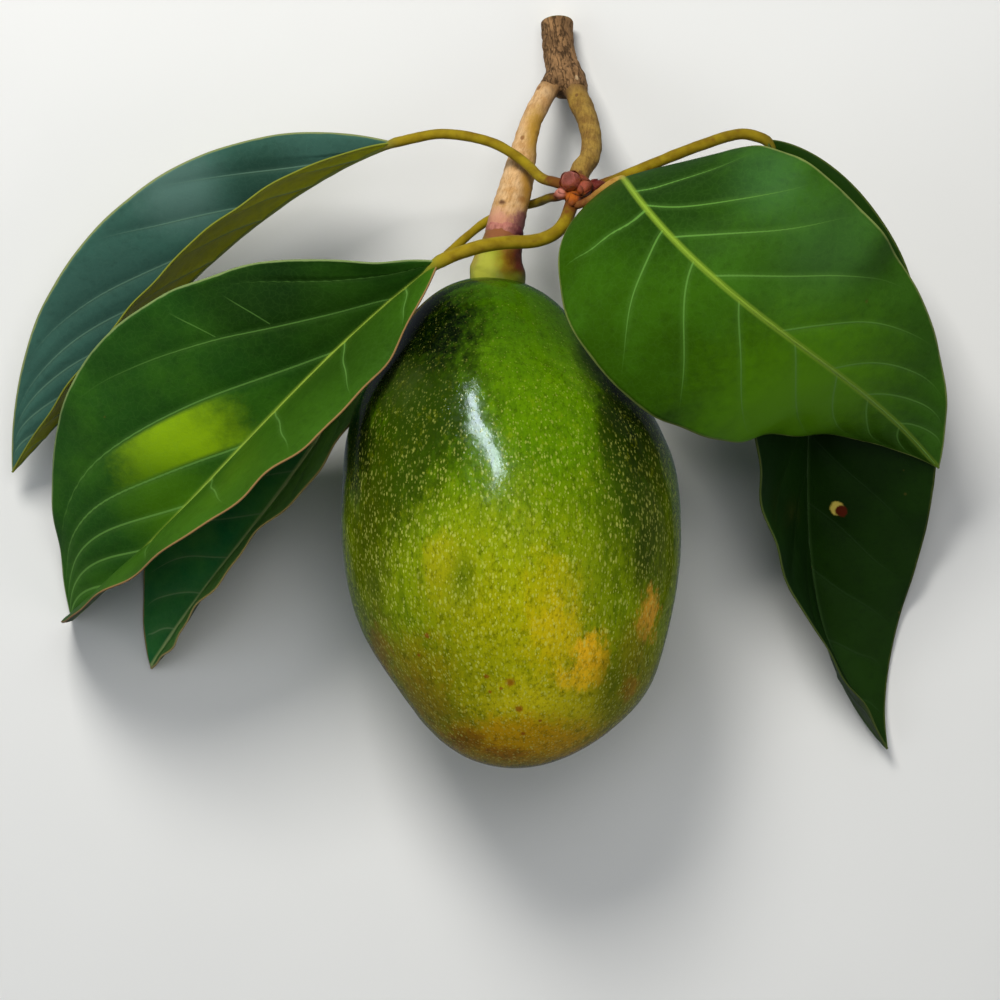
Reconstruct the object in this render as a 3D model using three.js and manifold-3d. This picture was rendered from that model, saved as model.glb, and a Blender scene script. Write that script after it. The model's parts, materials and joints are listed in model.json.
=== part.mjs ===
// A cut avocado branchlet lying on a level surface: one fruit on its stalk,
// five leaves round a bud cluster, and the woody twig that carried them.
// Millimetres, +Z up. Places are measured from the middle of the fruit,
// +Y towards its stalk, and the whole branchlet is moved to its own origin,
// the middle of its footprint, at the end.

import * as THREE from "three";
import { mergeVertices } from "three/addons/utils/BufferGeometryUtils.js";
import Module from "manifold-3d";

const wasm = await Module();
wasm.setup();

// ---- Driving dimensions -------------------------------------------------

const GAP = 0.3; // clearance between neighbouring pieces

const FRUIT_LENGTH = 110;
const FRUIT_RADIUS = 38;
const FRUIT_TILT = 5; // degrees, stalk end down
const FRUIT_HEIGHT = 38.1; // middle of the fruit above the ground
const NECK = { depth: 0.14, at: 0.1, width: 0.13 }; // narrowing near the stalk
const NECK_LEAN = { shift: -5.2, width: 0.3 }; // stalk end leans left
const FOOT_LEAN = { shift: 2.3, at: 0.86, width: 0.12 }; // far end leans right
const FLATS = { depth: 0.012, count: 3, turn: 1.0 }; // faint flats round it
const FRUIT_SIDES = 32;
const FRUIT_RINGS = 28;

const LEAF_THICKNESS = 1.5;
const LEAF_END_HALF_WIDTH = 0.9;
const MIDRIB_RIDGE = 1.1; // extra depth under the blade along the midrib
const TIP_TAPER = 0.95;
const BLADE_COLUMNS = 10;
const BLADE_ROWS = 20;
const MIDRIB_STEPS = 200;
const NORMAL_STEP = 0.01; // in u and t, for a blade's normal

const LIMB_SIDES = 10;
const LIMB_STEPS = 12;
const PETIOLE_SIDES = 8;
const TWIG = {
  points: [[10.6, 116.2, 3.7], [11.0, 109.4, 6.0], [11.9, 104.4, 8.6], [12.6, 101.0, 10.6]],
  radii: [3.8, 3.6, 3.8, 4.2],
};
const FRUIT_STALK = {
  points: [
    [10.9, 102.6, 9.9], [6.9, 96.8, 15], [3.8, 89.3, 21], [2.2, 81.3, 25.5],
    [0.7, 74.9, 28.5], [-0.8, 69.1, 31], [-1.7, 65.4, 32.2],
  ],
  radii: [2.4, 2.4, 2.4, 2.7, 3.6, 3.95, 4.2],
};
const COLLAR = {
  points: [[-1.6, 65.9, 32.1], [-1.75, 65.1, 32.3], [-1.95, 64.3, 32.5]],
  radii: [4.3, 4.5, 4.3],
  sides: 12,
  steps: 2,
};
const KNOB = {
  points: [[-1.8, 64.9, 32.3], [-2.7, 60.0, 33.2], [-3.2, 57.0, 33.4], [-3.4, 52.5, 33.5]],
  radii: [4.2, 4.9, 6.2, 6.5],
  sides: 12,
  steps: 4,
};
const LEAFY_SHOOT = {
  points: [
    [13.6, 102.4, 10.2], [15.5, 96.8, 15], [17.8, 88.9, 25], [17.5, 81.7, 34],
    [15.2, 78.0, 38.6], [14.4, 73.8, 42],
  ],
  radii: [2.7, 2.6, 2.4, 2.3, 2.3, 2.3],
};

// Each bud: the middle of its oval, its half length and radius, and where it points.
const BUD_HEART = [14.4, 73.8, 42];
const BUD_SIDES = 8;
const BUD_RINGS = 6;
const BUD_POINT = 0.35; // how much of its width a bud loses at its point
const BUDS = [
  { at: [0, 0, 0], half: 4.2, radius: 3.6, heading: -100, pitch: 40 },
  { at: [-1.5, 1.8, 2.8], half: 2.9, radius: 2.2, heading: 120, pitch: 60 },
  { at: [1.4, 0.2, 2.2], half: 2.9, radius: 1.8, heading: 20, pitch: 45 },
  { at: [4, 0.7, 1.4], half: 2.5, radius: 1.5, heading: 15, pitch: 20 },
  { at: [-0.9, -2.1, 2.6], half: 2.8, radius: 1.6, heading: -100, pitch: 50 },
  { at: [-3.4, -0.9, 1.6], half: 2.2, radius: 1.4, heading: -160, pitch: 30 },
];

// A blade starts at base and runs for its length. Heading, pitch and roll are
// degrees at its base, middle and tip: heading turns left from +X, pitch lifts
// it from level, roll lifts its left edge. Each half folds up from the midrib.
const LEAVES = [
  {
    name: "leaf_front_left",
    base: [-16, 57.4, 50],
    length: 130, halfWidth: 39.8, baseTaper: 0.95,
    heading: [-144.8, -134.1, -142.2], pitch: [-28.8, -14.4, -48.4], roll: [-15.3, 10.6, 28],
    foldLeft: 66.3, foldRight: 23.6,
    petiole: [
      [12.9, 69.4, 44.6], [11.6, 66.1, 46.4], [9.0, 63.4, 47.5], [4.4, 61.9, 48], [-1.8, 61.6, 48.6],
      [-6.4, 60.8, 49.4], [-11.1, 59.4, 50], [-16, 57.4, 50],
    ],
    petioleRadius: 1.5,
    color: 0x2c5a1a,
  },
  {
    name: "leaf_low_left",
    base: [-30.2, 45.3, 20.5],
    length: 100, halfWidth: 23.4, baseTaper: 1.24,
    heading: [-110.2, -128, -122.6], pitch: [10.8, -15, -18.6], roll: [-11, 23.6, 19.5],
    foldLeft: 58.5, foldRight: 5.3,
    petiole: [
      [10.4, 72.6, 39.0], [8.4, 72.8, 33.0], [5.4, 72.2, 25.8], [-1.5, 70.6, 23.6], [-7.2, 67.3, 22.2],
      [-16.4, 59.4, 21.2], [-24, 53.2, 20.8], [-30.2, 45.3, 20.5],
    ],
    petioleRadius: 1,
    color: 0x2a4518,
  },
  {
    name: "leaf_back_left",
    base: [-26.3, 85.7, 29],
    length: 120, halfWidth: 25.7, baseTaper: 1.05,
    heading: [-161, -136.9, -133.9], pitch: [-19.6, -9.5, -3.8], roll: [-2.5, -13.6, -12.2],
    foldLeft: 110, foldRight: 14.5,
    petiole: [
      [10.2, 75.4, 41.4], [6.6, 76.8, 37.4], [3.0, 80.6, 33.4], [-4.2, 85.2, 31.8], [-15.6, 87.4, 30.8],
      [-26.3, 85.7, 29],
    ],
    petioleRadius: 1.15,
    color: 0x35584c,
  },
  {
    name: "leaf_front_right",
    base: [24.3, 75.4, 51.4],
    length: 129, halfWidth: 32.5, baseTaper: 0.552,
    heading: [-71.6, -33.3, -47.8], pitch: [86.7, -33.8, -33], roll: [4.9, 13.5, 49.2],
    foldLeft: -12.5, foldRight: -10.2,
    petiole: [[16.6, 70.8, 47.3], [19.7, 73, 49.6], [22.6, 74.9, 50.9], [24.3, 75.4, 51.4]],
    petioleRadius: 1.25,
    color: 0x386008,
  },
  {
    name: "leaf_back_right",
    base: [57.5, 86, 31.5],
    length: 149, halfWidth: 30.3, baseTaper: 0.82,
    heading: [-59.7, -90.2, -46.7], pitch: [-14.6, -13.9, 9], roll: [2.5, 14.2, -33.9],
    foldLeft: 3.4, foldRight: 76.8,
    petiole: [
      [19.2, 74.8, 40], [28.6, 78.6, 39], [42.1, 84.2, 36.4], [52, 87.2, 33], [57.5, 86, 31.5],
    ],
    petioleRadius: 1.25,
    color: 0x14220a,
  },
];

const BARK = { color: 0x9c7a5c, roughness: 0.85 };
const STALK = { color: 0xd1af8f, roughness: 0.7 };
const COLLAR_BARK = { color: 0x4d241e, roughness: 0.8 };
const KNOB_SKIN = { color: 0xa6a737, roughness: 0.6 };
const BUD_SCALE = { color: 0x97502a, roughness: 0.45 };
const FRUIT_SKIN = { color: 0x4a6c0c, roughness: 0.35 };
const LEAF_ROUGHNESS = 0.4;

// ---- Small helpers ------------------------------------------------------

const radians = THREE.MathUtils.degToRad;
const vector = (place) => new THREE.Vector3(...place);

// The smooth value through [start, middle, end] at t from 0 to 1.
function through([start, middle, end], t) {
  return start * (1 - t) * (1 - 2 * t) + middle * 4 * t * (1 - t) + end * t * (2 * t - 1);
}

// The value at t along a list of evenly spaced values.
function along(values, t) {
  const place = t * (values.length - 1);
  const i = Math.min(Math.floor(place), values.length - 2);
  return THREE.MathUtils.lerp(values[i], values[i + 1], place - i);
}

const bump = (s, at, width) => Math.exp(-(((s - at) / width) ** 2));

// Moves every vertex of a closed geometry by place(x, y, z) -> Vector3.
function bend(geometry, place) {
  const position = geometry.attributes.position;
  for (let i = 0; i < position.count; i += 1) {
    const moved = place(position.getX(i), position.getY(i), position.getZ(i));
    position.setXYZ(i, moved.x, moved.y, moved.z);
  }
  return geometry;
}

function signedVolume(vertices, triangles) {
  const corner = (i) => new THREE.Vector3().fromArray(vertices, 3 * i);
  let volume = 0;
  for (let i = 0; i < triangles.length; i += 3) {
    const [a, b, c] = [0, 1, 2].map((k) => corner(triangles[i + k]));
    volume += a.dot(b.cross(c)) / 6;
  }
  return volume;
}

// A manifold solid from a closed geometry, with its faces turned outwards.
function solid(geometry) {
  geometry.deleteAttribute("normal");
  geometry.deleteAttribute("uv");
  const merged = mergeVertices(geometry);
  const vertProperties = new Float32Array(merged.attributes.position.array);
  const triVerts = new Uint32Array(merged.index.array);
  if (signedVolume(vertProperties, triVerts) < 0) {
    triVerts.reverse();
  }
  return new wasm.Manifold(new wasm.Mesh({ numProp: 3, vertProperties, triVerts }));
}

const joined = (solids) => solids.reduce((whole, piece) => whole.add(piece));
const cut = (whole, ...cutters) => cutters.reduce((rest, cutter) => rest.subtract(cutter), whole);

// The largest body of a solid, without the scraps that a cut can leave.
function largest(body) {
  return body.decompose().sort((a, b) => b.volume() - a.volume())[0];
}

function meshOf(name, body, { color, roughness }) {
  const { vertProperties, triVerts } = largest(body).getMesh();
  const geometry = new THREE.BufferGeometry();
  geometry.setAttribute("position", new THREE.BufferAttribute(vertProperties, 3));
  geometry.setIndex(new THREE.BufferAttribute(triVerts, 1));
  geometry.computeVertexNormals();
  const material = new THREE.MeshStandardMaterial({ color, roughness, metalness: 0 });
  const mesh = new THREE.Mesh(geometry, material);
  mesh.name = name;
  return mesh;
}

// ---- Twig, stalks and petioles: round limbs along a curve ---------------

function limb({ points, radii, sides = LIMB_SIDES, steps = LIMB_STEPS }, grow = 0) {
  const path = new THREE.CatmullRomCurve3(points.map(vector));
  const frames = path.computeFrenetFrames(steps);
  const rod = new THREE.CylinderGeometry(1, 1, 1, sides, steps);
  return solid(bend(rod, (x, y, z) => {
    const t = y + 0.5;
    const step = Math.round(t * steps);
    const radius = along(radii, t) + grow;
    const beyond = { 0: -grow, [steps]: grow }[step] ?? 0;
    return path.getPointAt(t)
      .addScaledVector(path.getTangentAt(t), beyond)
      .addScaledVector(frames.normals[step], x * radius)
      .addScaledVector(frames.binormals[step], z * radius);
  }));
}

// ---- Bud cluster: pointed ovals round one heart -------------------------

function bud({ at, half, radius, heading, pitch }, grow) {
  const oval = new THREE.SphereGeometry(1, BUD_SIDES, BUD_RINGS);
  const point = new THREE.Vector3(
    Math.cos(radians(heading)) * Math.cos(radians(pitch)),
    Math.sin(radians(heading)) * Math.cos(radians(pitch)),
    Math.sin(radians(pitch)),
  );
  const turn = new THREE.Quaternion().setFromUnitVectors(new THREE.Vector3(0, 1, 0), point);
  const middle = vector(BUD_HEART).add(vector(at));
  return solid(bend(oval, (x, y, z) => {
    const pointed = 1 - BUD_POINT * Math.max(y, 0);
    return new THREE.Vector3(
      x * (radius + grow) * pointed,
      y * (half + grow),
      z * (radius + grow) * pointed,
    ).applyQuaternion(turn).add(middle);
  }));
}

const budCluster = (grow = 0) => joined(BUDS.map((each) => bud(each, grow)));

// ---- Fruit: a pear-like round body with a leaning axis ------------------

function fruitRadius(s) {
  const egg = FRUIT_RADIUS * 2 * Math.sqrt(s * (1 - s));
  return egg * (1 - NECK.depth * bump(s, NECK.at, NECK.width));
}

function fruitLean(s) {
  return NECK_LEAN.shift * bump(s, 0, NECK_LEAN.width)
    + FOOT_LEAN.shift * bump(s, FOOT_LEAN.at, FOOT_LEAN.width);
}

function fruit(grow = 0) {
  const profile = [];
  for (let i = 0; i <= FRUIT_RINGS; i += 1) {
    const s = (1 - Math.cos((Math.PI * i) / FRUIT_RINGS)) / 2;
    const radius = i % FRUIT_RINGS === 0 ? 0 : fruitRadius(s) + grow;
    profile.push(new THREE.Vector2(radius, (s - 0.5) * (FRUIT_LENGTH + 2 * grow)));
  }
  const round = new THREE.LatheGeometry(profile, FRUIT_SIDES);
  const tilt = new THREE.Quaternion().setFromAxisAngle(
    new THREE.Vector3(1, 0, 0),
    radians(-FRUIT_TILT),
  );
  return solid(bend(round, (x, y, z) => {
    const s = THREE.MathUtils.clamp(0.5 + y / FRUIT_LENGTH, 0, 1);
    const flats = 1 + FLATS.depth * Math.cos(FLATS.count * Math.atan2(z, x) + FLATS.turn) * s;
    return new THREE.Vector3(x * flats + fruitLean(s), -y, z * flats)
      .applyQuaternion(tilt)
      .add(new THREE.Vector3(0, 0, FRUIT_HEIGHT));
  }));
}

// ---- Leaf: a blade folded along its midrib, with its petiole ------------

function midribDirection(leaf, t) {
  const heading = radians(through(leaf.heading, t));
  const pitch = radians(through(leaf.pitch, t));
  return new THREE.Vector3(
    Math.cos(heading) * Math.cos(pitch),
    Math.sin(heading) * Math.cos(pitch),
    Math.sin(pitch),
  );
}

function midribOf(leaf) {
  const points = [vector(leaf.base)];
  for (let i = 0; i < MIDRIB_STEPS; i += 1) {
    const direction = midribDirection(leaf, (i + 0.5) / MIDRIB_STEPS);
    points.push(points[i].clone().addScaledVector(direction, leaf.length / MIDRIB_STEPS));
  }
  return points;
}

function halfWidth(leaf, t) {
  const [p, q] = [leaf.baseTaper, TIP_TAPER];
  const peak = (p ** p * q ** q) / (p + q) ** (p + q);
  const width = leaf.halfWidth * (t ** p * (1 - t) ** q) / peak;
  return Math.max(width, LEAF_END_HALF_WIDTH);
}

// The middle of the blade at u across, from -1 right to 1 left, and t along.
function bladePoint(leaf, midrib, u, t) {
  const place = t * MIDRIB_STEPS;
  const i = Math.min(Math.floor(place), MIDRIB_STEPS - 1);
  const heading = radians(through(leaf.heading, t));
  const roll = radians(through(leaf.roll, t));
  const left = new THREE.Vector3(-Math.sin(heading), Math.cos(heading), 0);
  const up = midribDirection(leaf, t).cross(left);
  const across = left.clone().multiplyScalar(Math.cos(roll)).addScaledVector(up, Math.sin(roll));
  const face = up.multiplyScalar(Math.cos(roll)).addScaledVector(left, -Math.sin(roll));
  const fold = radians(u > 0 ? leaf.foldLeft : leaf.foldRight);
  const reach = halfWidth(leaf, t) * Math.abs(u);
  return midrib[i].clone().lerp(midrib[i + 1], place - i)
    .addScaledVector(across, Math.sign(u) * reach * Math.cos(fold))
    .addScaledVector(face, reach * Math.sin(fold));
}

function bladeNormal(leaf, midrib, u, t) {
  const at = (du, dt) => bladePoint(
    leaf,
    midrib,
    THREE.MathUtils.clamp(u + du, -1, 1),
    THREE.MathUtils.clamp(t + dt, 0, 1),
  );
  const across = at(NORMAL_STEP, 0).sub(at(-NORMAL_STEP, 0));
  const forward = at(0, NORMAL_STEP).sub(at(0, -NORMAL_STEP));
  return forward.cross(across).normalize();
}

function blade(leaf) {
  const midrib = midribOf(leaf);
  const slab = new THREE.BoxGeometry(2, 1, 1, BLADE_COLUMNS, BLADE_ROWS, 1);
  return solid(bend(slab, (u, y, depth) => {
    const even = y + 0.5;
    const t = (even + (1 - Math.cos(Math.PI * even)) / 2) / 2;
    const ridge = depth < 0 && u === 0 ? MIDRIB_RIDGE * (1 - t) : 0;
    const normal = bladeNormal(leaf, midrib, u, t);
    return bladePoint(leaf, midrib, u, t).addScaledVector(normal, depth * LEAF_THICKNESS - ridge);
  }));
}

function leafWithPetiole(leaf, ...neighbours) {
  const points = [BUD_HEART, ...leaf.petiole];
  const radii = [leaf.petioleRadius, leaf.petioleRadius];
  const petiole = limb({ points, radii, sides: PETIOLE_SIDES });
  return cut(blade(leaf).add(petiole), ...neighbours);
}

// ---- The branchlet ------------------------------------------------------

const grownTwig = limb(TWIG, GAP);
const grownStalk = limb(FRUIT_STALK, GAP);
const grownCollar = limb(COLLAR, GAP);
const grownBuds = budCluster(GAP);
const grownFruit = fruit(GAP);

const branchlet = new THREE.Group();
branchlet.add(
  meshOf("twig", limb(TWIG), BARK),
  meshOf("fruit_stalk", cut(limb(FRUIT_STALK), grownTwig, grownCollar), STALK),
  meshOf("leafy_shoot", cut(limb(LEAFY_SHOOT), grownTwig, grownStalk, grownBuds), BARK),
  meshOf("stalk_collar", limb(COLLAR), COLLAR_BARK),
  meshOf("stalk_knob", cut(limb(KNOB), grownCollar, grownFruit), KNOB_SKIN),
  meshOf("fruit", fruit(), FRUIT_SKIN),
  meshOf("bud_cluster", budCluster(), BUD_SCALE),
);
for (const leaf of LEAVES) {
  const finish = { color: leaf.color, roughness: LEAF_ROUGHNESS };
  branchlet.add(meshOf(leaf.name, leafWithPetiole(leaf, grownBuds, grownFruit), finish));
}

// The origin is the middle of the footprint, on the ground.
const box = new THREE.Box3().setFromObject(branchlet);
const middle = box.getCenter(new THREE.Vector3());
branchlet.position.set(-middle.x, -middle.y, -box.min.z);

export default branchlet;
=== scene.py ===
"""The looks of a cut avocado branchlet: one fruit, five leaves, stalks, buds and a twig.

Shapes are worked out in millimetres from the middle of the fruit, +Y towards its
stalk and +Z up, as the part's own source does. put() brings them into the frame.
"""
import json
import math

import bpy
import numpy as np
from mathutils import Matrix, Vector


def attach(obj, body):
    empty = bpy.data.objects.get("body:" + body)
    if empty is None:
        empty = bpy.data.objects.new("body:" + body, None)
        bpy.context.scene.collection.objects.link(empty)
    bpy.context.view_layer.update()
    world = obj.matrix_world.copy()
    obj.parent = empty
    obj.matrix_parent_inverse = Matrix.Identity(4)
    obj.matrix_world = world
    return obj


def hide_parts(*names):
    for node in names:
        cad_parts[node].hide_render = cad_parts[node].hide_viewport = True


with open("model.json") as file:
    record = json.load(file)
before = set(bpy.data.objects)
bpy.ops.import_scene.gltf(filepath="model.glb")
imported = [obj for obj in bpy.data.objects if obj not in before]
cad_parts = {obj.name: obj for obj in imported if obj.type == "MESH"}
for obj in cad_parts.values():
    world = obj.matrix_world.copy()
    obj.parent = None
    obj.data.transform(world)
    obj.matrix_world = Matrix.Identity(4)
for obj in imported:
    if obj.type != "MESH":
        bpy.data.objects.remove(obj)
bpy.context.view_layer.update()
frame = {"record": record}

MM = 0.001
TWIG_START = (10.6, 116.2, 3.7)  # the middle of the twig's cut end
ORIGIN = np.array(frame["record"]["mounts"][0]["pos_m"]) / MM - np.array(TWIG_START)


def put(points):
    """Millimetres from the fruit's middle, as metres in the frame."""
    return (np.asarray(points, float) + ORIGIN) * MM


def add_object(name, data):
    """A new object in the scene, of a mesh, a lamp or a camera."""
    made = bpy.data.objects.new(name, data)
    bpy.context.scene.collection.objects.link(made)
    return made


# ---- Sizes and places ----

FRUIT_LENGTH = 110
FRUIT_RADIUS = 38
FRUIT_TILT = math.radians(5)  # stalk end down
FRUIT_HEIGHT = 38.1
NECK = dict(depth=0.14, at=0.1, width=0.13)
NECK_LEAN = dict(shift=-5.2, width=0.3)
FOOT_LEAN = dict(shift=2.3, at=0.86, width=0.12)
FLATS = dict(depth=0.012, count=3, turn=1.0)

TIP_TAPER = 0.95
LEAF_END_HALF_WIDTH = 0.25
LEAF_THICKNESS = 0.5
MIDRIB_STEPS = 200
BLADE_ROWS = 250
BLADE_COLUMNS = 76

TWIG = dict(
    points=[TWIG_START, (11.0, 109.4, 6.0), (11.9, 104.4, 8.6), (12.6, 101.0, 10.6)],
    radii=[3.8, 3.6, 3.8, 4.2],
)
FRUIT_STALK = dict(
    points=[
        (10.9, 102.6, 9.9), (6.9, 96.8, 15), (3.8, 89.3, 21), (2.2, 81.3, 25.5),
        (0.7, 74.9, 28.5), (-0.8, 69.1, 31), (-1.7, 65.4, 32.2),
    ],
    radii=[2.4, 2.4, 2.4, 2.7, 3.6, 3.95, 4.2],
)
COLLAR = dict(
    points=[(-1.6, 65.9, 32.1), (-1.75, 65.1, 32.3), (-1.95, 64.3, 32.5)],
    radii=[4.3, 4.5, 4.3],
)
KNOB = dict(
    points=[(-1.8, 64.9, 32.3), (-2.7, 60.0, 33.2), (-3.2, 57.0, 33.4), (-3.4, 52.5, 33.5)],
    radii=[4.2, 4.9, 6.2, 6.5],
)
LEAFY_SHOOT = dict(
    points=[
        (13.6, 102.4, 10.2), (15.5, 96.8, 15), (17.8, 88.9, 25), (17.5, 81.7, 34),
        (15.2, 78.0, 38.6), (14.4, 73.8, 42),
    ],
    radii=[2.7, 2.6, 2.4, 2.3, 2.3, 2.3],
)
BUD_HEART = (14.4, 73.8, 42)
BUDS = [
    # at is from the bud heart, and half is half the length
    dict(at=(0, 0, 0), half=3.8, radius=3.2, heading=-100, pitch=40),
    dict(at=(-1.5, 1.8, 2.8), half=2.9, radius=2.2, heading=120, pitch=60),
    dict(at=(1.4, 0.2, 2.2), half=2.9, radius=1.8, heading=20, pitch=45),
    dict(at=(4.0, 0.7, 1.4), half=2.5, radius=1.5, heading=15, pitch=20),
    dict(at=(-0.9, -2.1, 2.6), half=2.8, radius=1.6, heading=-100, pitch=50),
    dict(at=(-3.4, -0.9, 1.6), half=2.2, radius=1.4, heading=-160, pitch=30),
]

# What a leaf has where its own row below says nothing else.
PLAIN_LEAF = dict(forks=[], tints=[], marks=[], wave=0.5, stem=((144, 124, 20), (120, 98, 12)))

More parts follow.
